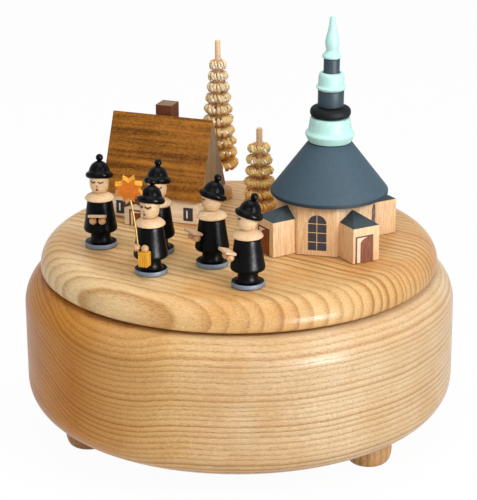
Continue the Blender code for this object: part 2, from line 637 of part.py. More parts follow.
def make_church():
    """Eight-sided church with four porches and a cone roof, under its tower."""
    church = stand_at("church", (*CHURCH_PLACE, 0), CHURCH_TURN)
    corner = NAVE_APOTHEM / math.cos(math.pi / NAVE_SIDES)
    rod("church_walls", corner, NAVE_HEIGHT, WALL_WOOD, steps=NAVE_SIDES, parent=church,
        at=(0, 0, STAND + NAVE_HEIGHT / 2), turn_by=(0, 0, 180 / NAVE_SIDES))
    for name, direction in (("porch_front", 45), ("porch_right", 135), ("porch_back", 225),
                            ("porch_left", 315)):
        make_porch(name, church, direction)

    roof_x = CHURCH_PLACE[0] + CHURCH_ROOF_SHIFT
    roof_y = CHURCH_PLACE[1]
    cone_base = STAND + NAVE_HEIGHT + GAP
    cone_top = cone_base + CONE_HEIGHT
    shoulder = cone_base + 1.6 * CONE_EDGE
    turned("church_roof", [(0, cone_top), (CONE_TOP_RADIUS, cone_top),
                           (CONE_RADIUS - 0.7 * CONE_EDGE, shoulder + 0.8 * CONE_EDGE),
                           (CONE_RADIUS, shoulder - 0.4 * CONE_EDGE), (CONE_RADIUS - CONE_EDGE, cone_base),
                           (0, cone_base)], SLATE_PAINT, steps=32, at=(roof_x, roof_y, 0))
    tower = stand_at("tower", (roof_x, roof_y, cone_top), 0)
    tower.rotation_euler.y = math.radians(TOWER_LEAN)
    make_tower(tower)


def make_tower(tower):
    """Turned pieces stacked on spigots, with heights from the roof's flat top."""
    dome_base = GAP
    dome_top = dome_base + DOME_HEIGHT
    bore = SPIGOT_RADIUS + GAP
    socket = dome_top - (SPIGOT_LENGTH - GALLERY_HEIGHT)
    profile = [(0, socket), (bore, socket), (bore, dome_top), (DOME_RADIUS - TOWER_EDGE, dome_top),
               (DOME_RADIUS, dome_top - TOWER_EDGE), (DOME_RADIUS + DOME_FLARE, dome_base + DOME_BODY_LOW),
               (DOME_LIP_RADIUS, dome_base + DOME_LIP_HIGH), (DOME_LIP_RADIUS, dome_base + DOME_LIP_LOW),
               (DOME_RADIUS, dome_base), (0, dome_base)]
    turned("tower_dome", profile, MINT_PAINT, steps=MEDIUM, parent=tower)

    gallery_base = dome_top + GAP
    gallery_top = gallery_base + GALLERY_HEIGHT
    half = GALLERY_HEIGHT / 2
    profile = [(bore, gallery_top)]
    profile += arc(GALLERY_RADIUS - half, gallery_base + half, half, 90, -90, 6)
    profile += [(bore, gallery_base)]
    turned("gallery_ring", profile, BLACK_PAINT, steps=MEDIUM, ring=True, parent=tower)

    drum_base = gallery_top + GAP
    drum_top = drum_base + DRUM_HEIGHT
    bell_base = drum_top + GAP
    bell_top = bell_base + BELL_HEIGHT
    core_top = bell_top + LANTERN_DRUM_HEIGHT
    pin_bore = SPIRE_SPIGOT_RADIUS + GAP
    core_socket = core_top - SPIRE_SPIGOT_LENGTH - GAP
    profile = [(0, core_socket), (pin_bore, core_socket), (pin_bore, core_top),
               (LANTERN_DRUM_RADIUS, core_top), (LANTERN_DRUM_RADIUS, drum_top), (DRUM_RADIUS, drum_top),
               (DRUM_RADIUS, drum_base), (SPIGOT_RADIUS, drum_base),
               (SPIGOT_RADIUS, drum_base - SPIGOT_LENGTH), (0, drum_base - SPIGOT_LENGTH)]
    turned("tower_core", profile, SLATE_PAINT, steps=MEDIUM, parent=tower)

    sleeve = LANTERN_DRUM_RADIUS + GAP
    profile = [(sleeve, bell_top), (BELL_TOP_RADIUS - TOWER_EDGE, bell_top),
               (BELL_TOP_RADIUS, bell_top - TOWER_EDGE),
               (BELL_TOP_RADIUS + BELL_FLARE, bell_base + BELL_BODY_LOW),
               (BELL_LIP_RADIUS, bell_base + BELL_LIP_HIGH), (BELL_LIP_RADIUS, bell_base + BELL_LIP_LOW),
               (BELL_LIP_RADIUS - BELL_LIP_LOW, bell_base), (sleeve, bell_base)]
    turned("tower_bell", profile, MINT_PAINT, steps=MEDIUM, ring=True, parent=tower)
    make_spire(tower, core_top + GAP)


def make_spire(tower, base):
    """Turned finial with a lip, a neck, a small bulb and a long tip."""
    high = SPIRE_HEIGHT
    waist = 0.5 * (SPIRE_NECK_RADIUS + SPIRE_LIP_RADIUS) - SPIRE_EDGE
    profile = [(0, base + high), (0.8 * SPIRE_TIP_RADIUS, base + 0.97 * high),
               (SPIRE_TIP_RADIUS, base + 0.91 * high), (0.6 * SPIRE_BULB_RADIUS, base + 0.74 * high),
               (0.86 * SPIRE_BULB_RADIUS, base + 0.45 * high), (SPIRE_BULB_RADIUS, base + 0.34 * high),
               (0.5 * (SPIRE_NECK_RADIUS + SPIRE_BULB_RADIUS), base + 0.26 * high),
               (SPIRE_NECK_RADIUS, base + 0.20 * high), (waist, base + 0.13 * high),
               (SPIRE_LIP_RADIUS, base + 0.08 * high), (SPIRE_LIP_RADIUS, base + 0.03 * high),
               (SPIRE_LIP_RADIUS - SPIRE_EDGE, base), (SPIRE_SPIGOT_RADIUS, base),
               (SPIRE_SPIGOT_RADIUS, base - SPIRE_SPIGOT_LENGTH), (0, base - SPIRE_SPIGOT_LENGTH)]
    turned("spire", profile, MINT_PAINT, steps=14, parent=tower)


def make_tree(name, tree):
    """Shaved tree on a round base: each whorl of curls is a rounded tier round the stem."""
    x, y = tree["place"]
    spot = stand_at(name + "_place", (x, y, STAND), 0)
    stem = tree["stem"]
    bore = stem + GAP
    socket = TREE_BASE_HEIGHT - TREE_SOCKET_DEPTH
    turned(name + "_base", [(0, socket), (bore, socket), (bore, TREE_BASE_HEIGHT),
                            (TREE_BASE_RADIUS - TREE_BASE_EDGE, TREE_BASE_HEIGHT),
                            (TREE_BASE_RADIUS, TREE_BASE_HEIGHT - TREE_BASE_EDGE),
                            (TREE_BASE_RADIUS, 0), (0, 0)],
           PALE_WOOD, steps=20, parent=spot)
    profile = [(0, tree["tip"]), (0.8 * stem, tree["tip"])]
    reach = tree["spacing"]
    for index in range(tree["whorls"]):
        share = index / (tree["whorls"] - 1)
        radius = tree["narrow"] + (tree["wide"] - tree["narrow"]) * share
        height = tree["first"] - index * reach
        profile += [(stem + CURL_ROOT, height + 0.42 * reach), (0.82 * radius, height + 0.30 * reach),
                    (radius, height), (0.80 * radius, height - 0.34 * reach)]
    profile += [(stem, height - 0.46 * reach), (stem, socket + GAP), (0, socket + GAP)]
    turned(name, profile, SHAVINGS, steps=10, parent=spot)


def make_book(name, parent):
    """Open songbook on two ball hands."""
    reach = HEM_RADIUS - HAND_TUCK
    hand_y = -(reach + GAP + HAND_RADIUS)
    book_z = HAND_HEIGHT + HAND_RADIUS - BOOK_SINK + BOOK_THICKNESS / 2
    book = block(name, (BOOK_WIDTH, BOOK_DEPTH, BOOK_THICKNESS), PALE_WOOD, parent=parent,
                 at=(0, -(reach + GAP) - BOOK_DEPTH / 2, book_z))
    for side in (-1, 1):
        join(book, ball(f"{name}_hand_{side}", HAND_RADIUS, None, parent=parent,
                        at=(side * HAND_SPREAD, hand_y, HAND_HEIGHT)))


def make_lantern_and_star(parent):
    """The star bearer's two hands: one carries a lantern, the other a star on a pole."""
    hand_y = -(HEM_RADIUS - HAND_TUCK + GAP + HAND_RADIUS)
    lantern_z = HAND_HEIGHT - HAND_RADIUS + LANTERN_GRIP - LANTERN_HEIGHT / 2
    lantern = block("star_bearer_lantern", (LANTERN_WIDTH, LANTERN_WIDTH, LANTERN_HEIGHT), STAR_PAINT,
                    parent=parent, at=(HAND_SPREAD, hand_y - LANTERN_FORWARD, lantern_z))
    join(lantern, ball("lantern_hand", HAND_RADIUS, None, parent=parent,
                       at=(HAND_SPREAD, hand_y, HAND_HEIGHT)))

    grip = Vector((-HAND_SPREAD, hand_y, HAND_HEIGHT))
    lean = STAR_PLACE - grip
    outline = []
    for index in range(2 * STAR_POINTS):
        radius = STAR_RADIUS if index % 2 == 0 else STAR_ROOT_RADIUS
        angle = math.pi * (index + 0.5 * STAR_POINTS + 1) / STAR_POINTS
        outline.append((radius * math.cos(angle), radius * math.sin(angle)))
    star = sheet("star_bearer_star", [outline], STAR_THICKNESS, STAR_PAINT, parent=parent, at=STAR_PLACE,
                 turn_by=(90, 0, 0))
    pole = rod("star_pole", POLE_RADIUS, lean.length, None, steps=8, parent=parent, at=grip + lean / 2)
    pole.rotation_euler = lean.to_track_quat("Z", "Y").to_euler()
    join(star, pole, ball("star_hand", HAND_RADIUS, None, parent=parent, at=grip))


def make_figure(name, x, y, facing):
    """Turned figure in three pieces: cloak on a plinth, head with its collar, and hat."""
    spot = stand_at(name, (x, y, LID_TOP), facing + 90)
    edge = FIGURE_EDGE
    skirt = WAIST_HEIGHT - PLINTH_HEIGHT
    cloak = [(0, CLOAK_TOP), (SHOULDER_RADIUS - edge, CLOAK_TOP), (SHOULDER_RADIUS, CLOAK_TOP - edge),
             (HEM_RADIUS, HEM_HEIGHT + edge), (HEM_RADIUS - 0.4 * edge, HEM_HEIGHT),
             (WAIST_RADIUS + 0.4 * edge, WAIST_HEIGHT + 2 * edge), (WAIST_RADIUS, WAIST_HEIGHT),
             (0.65 * WAIST_RADIUS + 0.35 * PLINTH_RADIUS, WAIST_HEIGHT - 0.44 * skirt),
             (PLINTH_RADIUS - 0.5 * edge, PLINTH_HEIGHT + 0.5 * edge), (PLINTH_RADIUS, PLINTH_HEIGHT),
             (PLINTH_RADIUS, GAP), (0, GAP)]
    turned(name + "_cloak", cloak, BLACK_PAINT, parent=spot)

    collar_base = CLOAK_TOP + GAP
    collar_top = collar_base + COLLAR_HEIGHT
    head = arc(0, HEAD_CENTRE, HEAD_RADIUS, 90, -55, 6)
    head[0] = (0, HEAD_CENTRE + HEAD_RADIUS)
    head += [(COLLAR_RADIUS - 2 * edge, collar_top - 0.34 * COLLAR_HEIGHT),
             (COLLAR_RADIUS, collar_base + 0.43 * COLLAR_HEIGHT),
             (COLLAR_RADIUS - 0.5 * edge, collar_base + edge), (COLLAR_RADIUS - 1.8 * edge, collar_base),
             (0, collar_base)]
    turned(name + "_head", head, PALE_WOOD, parent=spot)

    lining = HEAD_RADIUS + GAP
    throat = math.sqrt(lining ** 2 - BRIM_LOW ** 2)
    brim_mid = 0.5 * (BRIM_LOW + BRIM_HIGH)
    hat = arc(0, POMPOM_CENTRE, POMPOM_RADIUS, 90, -55, 4)
    hat[0] = (0, POMPOM_CENTRE + POMPOM_RADIUS)
    crown = CROWN_TOP - BRIM_HIGH
    hat += [(0.62 * CROWN_RADIUS, BRIM_HIGH + 0.81 * crown),
            (0.93 * CROWN_RADIUS, BRIM_HIGH + 0.38 * crown), (CROWN_RADIUS, BRIM_HIGH),
            (BRIM_RADIUS - 0.8 * edge, BRIM_HIGH - 0.8 * edge), (BRIM_RADIUS, brim_mid),
            (BRIM_RADIUS - edge, BRIM_LOW + 0.5 * edge), (throat + 0.5 * edge, BRIM_LOW)]
    lining_start = math.degrees(math.atan2(BRIM_LOW, throat))
    hollow = arc(0, 0, lining, lining_start, 90, 3)
    hollow[-1] = (0, lining)
    turned(name + "_hat", hat + hollow, BLACK_PAINT, parent=spot, at=(0, 0, HEAD_CENTRE),
           turn_by=(-HAT_TILT, 0, 0))
    return spot


def make_figures():
    for name, (x, y, facing) in FIGURES.items():
        spot = make_figure(name, x, y, facing)
        if name == "star_bearer":
            make_lantern_and_star(spot)
        else:
            make_book(name + "_book", spot)


def screw(name, head_radius, radius, length, place, seat):
    """Cheese-head screw with a slot, its head's underside at the seat."""
    x, y = place
    body = turned(name, [(0, SCREW_HEAD_HEIGHT), (head_radius - SCREW_CHAMFER, SCREW_HEAD_HEIGHT),
                         (head_radius, SCREW_HEAD_HEIGHT - SCREW_CHAMFER), (head_radius, 0), (radius, 0),
                         (radius, -length), (0, -length)], STEEL, steps=10, at=(x, y, seat + GAP))
    cut(body, block(name + "_slot", (3 * head_radius, SCREW_SLOT_WIDTH, 2 * SCREW_SLOT_DEPTH), None,
                    collection=CUTTERS, at=(x, y, seat + GAP + SCREW_HEAD_HEIGHT)))


def comb_screw_places():
    y = COMB_ROOT_Y - COMB_ROOT_LENGTH / 2
    return {"comb_screw_left": (CYLINDER_START + COMB_SCREW_INSET, y),
            "comb_screw_right": (CYLINDER_END - COMB_SCREW_INSET, y)}


def make_bedplate():
    """Cast bedplate with two bearing posts, the comb's block, and the click's stud."""
    length = PLATE_EAST - PLATE_WEST
    width = PLATE_NORTH - PLATE_SOUTH
    plate = block("bedplate", (length, width, PLATE_THICKNESS), ZINC,
                  at=((PLATE_EAST + PLATE_WEST) / 2, (PLATE_NORTH + PLATE_SOUTH) / 2,
                      PLATE_BASE + PLATE_THICKNESS / 2))
    post_top = CYLINDER_AXIS + CYLINDER_ARBOR + POST_ABOVE_ARBOR
    post_height = post_top - PLATE_TOP + ROOT
    for name, start in (("inner_post", INNER_POST), ("outer_post", OUTER_POST)):
        join(plate, block(name, (POST_THICKNESS, POST_WIDTH, post_height), None,
                          at=(start + POST_THICKNESS / 2, 0, post_top - post_height / 2)))
    block_top = COMB_BASE - GAP
    block_height = block_top - PLATE_TOP + ROOT
    block_length = COMB_ROOT_LENGTH - COMB_OVERHANG
    join(plate, block("comb_block", (CYLINDER_LENGTH, block_length, block_height), None,
                      at=(CYLINDER_START + CYLINDER_LENGTH / 2, COMB_BACK_Y + block_length / 2,
                          block_top - block_height / 2)))
    pin_top = PLATE_TOP + RATCHET_THICKNESS + GAP
    pin_low = PLATE_TOP - ROOT
    join(plate, rod("click_stud", CLICK_PIN_RADIUS, pin_top - pin_low, None, steps=12,
                    at=(*CLICK_PIVOT, (pin_top + pin_low) / 2)))
    cut(plate, rod("arbor_bearing", ARBOR_RADIUS + GAP, 4 * PLATE_THICKNESS, None, collection=CUTTERS,
                   steps=16, at=(0, 0, PLATE_BASE)))
    cut(plate, rod("cylinder_bearings", CYLINDER_ARBOR + PIVOT_CLEARANCE, 2 * PLATE_EAST, None,
                   collection=CUTTERS, steps=12, at=(PLATE_EAST, 0, CYLINDER_AXIS), turn_by=(0, 90, 0)))
    for name, (x, y) in MOUNT_SCREW_PLACES.items():
        cut(plate, rod(name + "_hole", MOUNT_SCREW_RADIUS + GAP, 4 * PLATE_THICKNESS, None,
                       collection=CUTTERS, steps=10, at=(x, y, PLATE_BASE)))
        screw(name, MOUNT_SCREW_HEAD, MOUNT_SCREW_RADIUS, MOUNT_SCREW_LENGTH, (x, y), PLATE_TOP)
    for name, (x, y) in comb_screw_places().items():
        cut(plate, rod(name + "_hole", COMB_SCREW_RADIUS + GAP, 2 * COMB_SCREW_LENGTH, None,
                       collection=CUTTERS, steps=10, at=(x, y, block_top)))


def make_comb():
    """Steel comb with one tooth for each note, screwed on its block."""
    pitch = CYLINDER_LENGTH / NOTES
    outline = [(CYLINDER_START, COMB_BACK_Y), (CYLINDER_END, COMB_BACK_Y)]
    for index in reversed(range(NOTES)):
        right = CYLINDER_START + (index + 1) * pitch - (COMB_SLOT / 2 if index < NOTES - 1 else 0)
        left = CYLINDER_START + index * pitch + (COMB_SLOT / 2 if index > 0 else 0)
        if index < NOTES - 1:
            outline.append((right, COMB_ROOT_Y))
        outline += [(right, COMB_TIP_Y), (left, COMB_TIP_Y)]
        if index > 0:
            outline.append((left, COMB_ROOT_Y))
    holes = []
    for name, place in comb_screw_places().items():
        holes.append(circle(COMB_SCREW_RADIUS + GAP, 10, place))
        screw(name, COMB_SCREW_HEAD, COMB_SCREW_RADIUS, COMB_SCREW_LENGTH, place,
              COMB_BASE + COMB_THICKNESS)
    sheet("comb", [outline] + holes, COMB_THICKNESS, STEEL, at=(0, 0, CYLINDER_AXIS))


def make_cylinder():
    """Pinned cylinder on its arbor, with the pinion at the barrel and the train's wheel beyond.

    It is modelled along its own Z, which points along +X once it is laid down."""
    pinion_width = BARREL_RADIUS - CROWN_RING_INNER
    inner_end = CROWN_RING_INNER - CYLINDER_INNER_END
    outer_end = OUTER_POST + POST_THICKNESS + CYLINDER_OUTER_END
    profile = [(0, outer_end), (CYLINDER_ARBOR, outer_end), (CYLINDER_ARBOR, CYLINDER_END),
               (CYLINDER_RADIUS, CYLINDER_END), (CYLINDER_RADIUS, CYLINDER_START),
               (CYLINDER_ARBOR, CYLINDER_START), (CYLINDER_ARBOR, inner_end), (0, inner_end)]
    laid = {"at": (0, 0, CYLINDER_AXIS), "turn_by": (0, 90, 0)}
    cylinder = turned("pin_cylinder", profile, BRASS, steps=20, **laid)
    pinion = gear_outline(PINION_TEETH, PINION_RADIUS, *PINION_TOOTH)
    wheel = gear_outline(WHEEL_TEETH, WHEEL_RADIUS, *WHEEL_TOOTH, phase=180 / WHEEL_TEETH)
    join(cylinder,
         sheet("cylinder_pinion", [pinion], pinion_width, None,
               at=(CROWN_RING_INNER + pinion_width / 2, 0, CYLINDER_AXIS), turn_by=(0, 90, 0)),
         sheet("cylinder_wheel", [wheel], WHEEL_THICKNESS, None,
               at=(WHEEL_START + WHEEL_THICKNESS / 2, 0, CYLINDER_AXIS), turn_by=(0, 90, 0)),
         cylinder_pins(laid))


def cylinder_pins(laid):
    """The tune: short pins on each note's track, clear of the comb's tips at rest."""
    mesh = bpy.data.meshes.new("tune_pins")
    model = bmesh.new()
    pitch = CYLINDER_LENGTH / NOTES
    comb_side = -90.0
    clear = 25.0
    for note in range(NOTES):
        along = CYLINDER_START + (note + 0.5) * pitch
        for step in range(PINS_PER_NOTE):
            spread = (note * 137.5 + step * 360 / PINS_PER_NOTE) % (360 - 2 * clear)
            angle = math.radians(comb_side + clear + spread)
            outward = Vector((math.cos(angle), math.sin(angle), 0))
            middle = outward * (CYLINDER_RADIUS + PIN_HEIGHT / 2 - 0.1 * MM) + Vector((0, 0, along))
            place = Matrix.Translation(middle) @ outward.to_track_quat("Z", "Y").to_matrix().to_4x4()
            bmesh.ops.create_cone(model, cap_ends=True, segments=4, radius1=PIN_RADIUS, radius2=PIN_RADIUS,
                                  depth=PIN_HEIGHT + 0.2 * MM, matrix=place)
    model.to_mesh(mesh)
    model.free()
    return lay("tune_pins", mesh, None, **laid)


def make_barrel():
    """Spring barrel, open below, whose toothed rim drives the cylinder's pinion."""
    inner = BARREL_RADIUS - BARREL_WALL
    roof = BARREL_TOP - BARREL_ROOF
    teeth_top = BARREL_TOP + CROWN_TOOTH_HEIGHT
    boss_top = BARREL_TOP + BARREL_BOSS_HEIGHT
    barrel = turned("spring_barrel",
                    [(0, boss_top), (BARREL_BOSS_RADIUS, boss_top), (BARREL_BOSS_RADIUS, BARREL_TOP),
                     (CROWN_RING_INNER, BARREL_TOP), (CROWN_RING_INNER, teeth_top),
                     (BARREL_RADIUS, teeth_top), (BARREL_RADIUS, BARREL_BASE), (inner, BARREL_BASE),
                     (inner, roof), (0, roof)],
                    BRASS, steps=CROWN_TEETH)
    rays = []
    half = CROWN_GAP_WIDTH / 2
    near = CROWN_RING_INNER - CUTTER_RUNOUT
    far = BARREL_RADIUS + CUTTER_RUNOUT
    for index in range(CROWN_TEETH):
        angle = 2 * math.pi * index / CROWN_TEETH
        for along, across in ((near, -half), (far, -half), (far, half), (near, half)):
            rays.append((along * math.cos(angle) - across * math.sin(angle),
                         along * math.sin(angle) + across * math.cos(angle)))
    depth = CROWN_TOOTH_HEIGHT + CUTTER_RUNOUT
    cut(barrel, sheet("crown_gaps", [rays, circle(near - CUTTER_RUNOUT, 24)], depth, None,
                      collection=CUTTERS, at=(0, 0, BARREL_TOP + CROWN_ROOT_STEP + depth / 2)))
    make_mainspring(inner - GAP)


def make_mainspring(outer):
    """Flat steel spiral between the arbor and the barrel's wall."""
    inner = ARBOR_RADIUS + 2 * GAP + SPRING_STRIP
    steps = 16 * SPRING_TURNS
    base = BARREL_BASE + SPRING_LIFT
    model = bmesh.new()
    edges = []
    previous = None
    for index in range(steps + 1):
        share = index / steps
        angle = 2 * math.pi * SPRING_TURNS * share
        radius = inner + (outer - SPRING_STRIP / 2 - inner) * share
        vertex = model.verts.new((radius * math.cos(angle), radius * math.sin(angle), base))
        if previous:
            edges.append(model.edges.new((previous, vertex)))
        previous = vertex
    raised = bmesh.ops.extrude_edge_only(model, edges=edges)
    top = [item for item in raised["geom"] if isinstance(item, bmesh.types.BMVert)]
    bmesh.ops.translate(model, vec=(0, 0, SPRING_WIDTH), verts=top)
    mesh = bpy.data.meshes.new("mainspring")
    model.to_mesh(mesh)
    model.free()
    spring = lay("mainspring", mesh, STEEL)
    strip = spring.modifiers.new("strip", "SOLIDIFY")
    strip.thickness = SPRING_STRIP
    strip.offset = 0


def make_spindle():
    """Spindle from the barrel's boss to the lid, with the flange that carries the lid."""
    foot = BARREL_TOP + GAP
    bore = BARREL_BOSS_RADIUS + GAP
    bore_top = foot + BARREL_BOSS_HEIGHT
    flange_top = LID_BOTTOM - GAP
    tip = LID_BOTTOM + LID_SOCKET_DEPTH - GAP
    flange_low = flange_top - FLANGE_THICKNESS
    step = bore_top + SPINDLE_FOOT_ROOF
    turned("turntable_spindle",
           [(0, tip), (SPINDLE_RADIUS, tip), (SPINDLE_RADIUS, flange_top), (FLANGE_RADIUS, flange_top),
            (FLANGE_RADIUS, flange_low), (SPINDLE_RADIUS + FLANGE_NECK_WIDTH, flange_low),
            (SPINDLE_RADIUS, flange_low - FLANGE_NECK_HEIGHT), (SPINDLE_RADIUS, step + SPINDLE_FOOT_CONE),
            (SPINDLE_FOOT_RADIUS, step), (SPINDLE_FOOT_RADIUS, foot), (bore, foot), (bore, bore_top),
            (0, bore_top)], STEEL, steps=20)


def ratchet_outline():
    """Saw teeth, steep on the side that the click holds."""
    points = []
    pitch = 2 * math.pi / RATCHET_TEETH
    for index in range(RATCHET_TEETH):
        start = index * pitch
        foot = start + 0.88 * pitch
        root = RATCHET_RADIUS - RATCHET_TOOTH
        points.append((RATCHET_RADIUS * math.cos(start), RATCHET_RADIUS * math.sin(start)))
        points.append((root * math.cos(foot), root * math.sin(foot)))
    return points


def make_winding():
    """Winding arbor with its ratchet, the click beside it, and the butterfly key below."""
    hub_top = RECESS_TOP - GAP
    arbor_top = BARREL_TOP - BARREL_ROOF - GAP
    arbor_low = hub_top - KEY_BORE_DEPTH + GAP
    ratchet_z = PLATE_TOP + GAP + RATCHET_THICKNESS / 2
    arbor = rod("winding_arbor", ARBOR_RADIUS, arbor_top - arbor_low, STEEL, steps=16,
                at=(0, 0, (arbor_top + arbor_low) / 2))
    join(arbor, sheet("ratchet", [ratchet_outline()], RATCHET_THICKNESS, None, at=(0, 0, ratchet_z)))

    wings = []
    half = KEY_WING_SPAN / 2
    middle = KEY_WING_HEIGHT / 2
    steps = 20
    for index in range(steps):
        angle = 2 * math.pi * index / steps
        waist = 0.62 + 0.38 * abs(math.cos(angle))
        wings.append((half * math.cos(angle), middle * waist * math.sin(angle) * 1.15))
    eyes = [circle(KEY_EYE_RADIUS, 9, (side * KEY_EYE_OFFSET, 0)) for side in (-1, 1)]
    key = sheet("winding_key", [wings] + eyes, KEY_WING_THICKNESS, BRASS,
                at=(0, 0, KEY_LOW + middle), turn_by=(90, 0, 0))
    bore = ARBOR_RADIUS + GAP
    bore_roof = hub_top - KEY_BORE_DEPTH
    join(key, turned("key_hub", [(0, hub_top), (KEY_HUB_RADIUS, hub_top), (KEY_HUB_RADIUS, KEY_HUB_BASE),
                                 (KEY_HUB_RADIUS - KEY_HUB_CHAMFER, KEY_HUB_BASE - KEY_HUB_CHAMFER),
                                 (0, KEY_HUB_BASE - KEY_HUB_CHAMFER)], None, steps=16))
    cut(key, rod("key_bore", bore, 2 * KEY_BORE_DEPTH, None, collection=CUTTERS, steps=16,
                 at=(0, 0, bore_roof + KEY_BORE_DEPTH)))
    make_click(ratchet_z)


def make_click(height):
    """Pawl on its stud, with its nose lifted just clear of the ratchet's teeth."""
    contact = math.radians(CLICK_NOSE_ANGLE)
    reach = RATCHET_RADIUS + CLICK_TIP_GAP
    nose = Vector((reach * math.cos(contact), reach * math.sin(contact))) - Vector(CLICK_PIVOT)
    across = Vector((-nose.y, nose.x)).normalized()
    outline = []
    start = math.atan2(nose.y, nose.x)
    for index in range(9):
        angle = start + math.radians(60 + 240 * index / 8)
        outline.append((CLICK_EYE_RADIUS * math.cos(angle), CLICK_EYE_RADIUS * math.sin(angle)))
    for side in (-CLICK_NOSE_WIDTH, 0):
        outline.append(tuple(nose + across * side))
    sheet("click", [outline, circle(CLICK_PIN_RADIUS + PIVOT_CLEARANCE, 10)], RATCHET_THICKNESS, STEEL,
          at=(*CLICK_PIVOT, height))


def make_governor():
    """Bracket, the wheel that the cylinder drives, and the fan on its worm."""
    make_governor_frame()
    pinion = gear_outline(GOVERNOR_PINION_TEETH, GOVERNOR_PINION_RADIUS, *GOVERNOR_PINION_TOOTH, phase=90)
    wheel = gear_outline(WORM_WHEEL_TEETH, WORM_WHEEL_RADIUS, *WORM_WHEEL_TOOTH, share=0.30, phase=90)
    start = WHEEL_START - GAP
    end = WORM_X + FRAME_WIDTH / 2 + GOVERNOR_ARBOR_END
    laid = {"turn_by": (0, 90, 0)}
    arbor = rod("governor_wheel", TRAIN_ARBOR, end - start, BRASS, steps=10,
                at=((start + end) / 2, TRAIN_Y, CYLINDER_AXIS), **laid)
    join(arbor,
         sheet("governor_pinion", [pinion], WHEEL_THICKNESS, None,
               at=(WHEEL_START + WHEEL_THICKNESS / 2, TRAIN_Y, CYLINDER_AXIS), **laid),
         sheet("worm_wheel", [wheel], WORM_WHEEL_THICKNESS, None,
               at=(WORM_X, TRAIN_Y, CYLINDER_AXIS), **laid))
    make_fan()


def make_fan():
    """Two-start worm on a thin arbor, with the flat vane of the air brake above it."""
    low = FRAME_LOW_ARM - PIVOT_DEPTH
    high = FRAME_TOP + PIVOT_DEPTH
    fan = rod("governor_fan", TRAIN_ARBOR, high - low, BRASS, steps=10,
              at=(WORM_X, WORM_Y, (low + high) / 2))
    lead = WORM_STARTS * TRAIN_MODULE * math.pi
    turns = WORM_LENGTH / lead
    steps = round(10 * turns)
    section = bpy.data.meshes.new("worm")
    around = 12
    ring = []
    for index in range(around):
        angle = 2 * math.pi * index / around
        radius = WORM_RADIUS - WORM_WAVE * math.cos(WORM_STARTS * angle)
        ring.append((radius * math.cos(angle), radius * math.sin(angle), 0))
    section.from_pydata(ring, [(index, (index + 1) % around) for index in range(around)], [])
    groove_to_wheel = 90 - 180 * turns
    worm = lay("worm", section, None, at=(WORM_X, WORM_Y, CYLINDER_AXIS - WORM_LENGTH / 2),
               turn_by=(0, 0, groove_to_wheel))
    twist = worm.modifiers.new("twist", "SCREW")
    twist.steps = steps
    twist.render_steps = steps
    twist.angle = 2 * math.pi * turns
    twist.screw_offset = WORM_LENGTH
    mesh = bpy.data.meshes.new_from_object(worm.evaluated_get(bpy.context.evaluated_depsgraph_get()))
    model = bmesh.new()
    model.from_mesh(mesh)
    bmesh.ops.holes_fill(model, edges=model.edges, sides=around)
    bmesh.ops.recalc_face_normals(model, faces=model.faces)
    model.to_mesh(mesh)
    model.free()
    worm.modifiers.clear()
    worm.data = mesh
    vane = block("vane", (2 * FAN_RADIUS, FAN_THICKNESS, FAN_HEIGHT), None,
                 at=(WORM_X, WORM_Y, FAN_BASE + FAN_HEIGHT / 2))
    join(fan, worm, vane)


def make_governor_frame():
    """Bracket on the bedplate: a back plate, two arms for the worm, two cheeks for the wheel."""
    base = PLATE_TOP + GAP
    top = FRAME_TOP + FRAME_ARM_THICKNESS
    back_middle = FRAME_BACK_Y + FRAME_BACK_THICKNESS / 2
    frame = block("governor_frame", (FRAME_WIDTH, FRAME_BACK_THICKNESS, top - base), BRASS,
                  at=(WORM_X, back_middle, (top + base) / 2))
    overlap = FRAME_BACK_THICKNESS / 2
    arm_front = WORM_Y - FRAME_ARM_REACH
    arm_depth = FRAME_BACK_Y + overlap - arm_front
    arm_middle = arm_front + arm_depth / 2
    for name, height in (("low_arm", FRAME_LOW_ARM - FRAME_ARM_THICKNESS), ("top_arm", FRAME_TOP)):
        join(frame, block(name, (FRAME_ARM_WIDTH, arm_depth, FRAME_ARM_THICKNESS), None,
                          at=(WORM_X, arm_middle, height + FRAME_ARM_THICKNESS / 2)))
    join(frame, block("frame_foot", (FRAME_WIDTH, arm_depth, FRAME_ARM_THICKNESS), None,
                      at=(WORM_X, arm_middle, base + FRAME_ARM_THICKNESS / 2)))
    cheek_front = TRAIN_Y - CHEEK_REACH
    cheek_depth = FRAME_BACK_Y + overlap - cheek_front
    for name, side in (("cheek_inner", -1), ("cheek_outer", 1)):
        cheek_x = WORM_X + side * (FRAME_WIDTH - CHEEK_THICKNESS) / 2
        join(frame, block(name, (CHEEK_THICKNESS, cheek_depth, CHEEK_HEIGHT), None,
                          at=(cheek_x, cheek_front + cheek_depth / 2, CYLINDER_AXIS)))
    pivot = TRAIN_ARBOR + PIVOT_CLEARANCE
    cut(frame, rod("wheel_pivots", pivot, 2 * FRAME_WIDTH, None, collection=CUTTERS, steps=10,
                   at=(WORM_X, TRAIN_Y, CYLINDER_AXIS), turn_by=(0, 90, 0)))
    cut(frame, rod("fan_pivots", pivot, 3 * (top - base), None, collection=CUTTERS, steps=10,
                   at=(WORM_X, WORM_Y, CYLINDER_AXIS)))


make_bowl()
make_lid()
make_house()
make_church()
for tree_name, tree_sizes in TREES.items():
    make_tree(tree_name, tree_sizes)
make_figures()
make_bedplate()
make_comb()
make_cylinder()
make_barrel()
make_spindle()
make_winding()
make_governor()
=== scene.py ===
"""Looks of the wooden music box: a village and its carol singers on a turned lid.

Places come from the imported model. Profiles and outlines are in millimetres, and all else is in metres.
"""
import json
import math
from functools import partialmethod

import bmesh
import bpy
from mathutils import Matrix, Vector


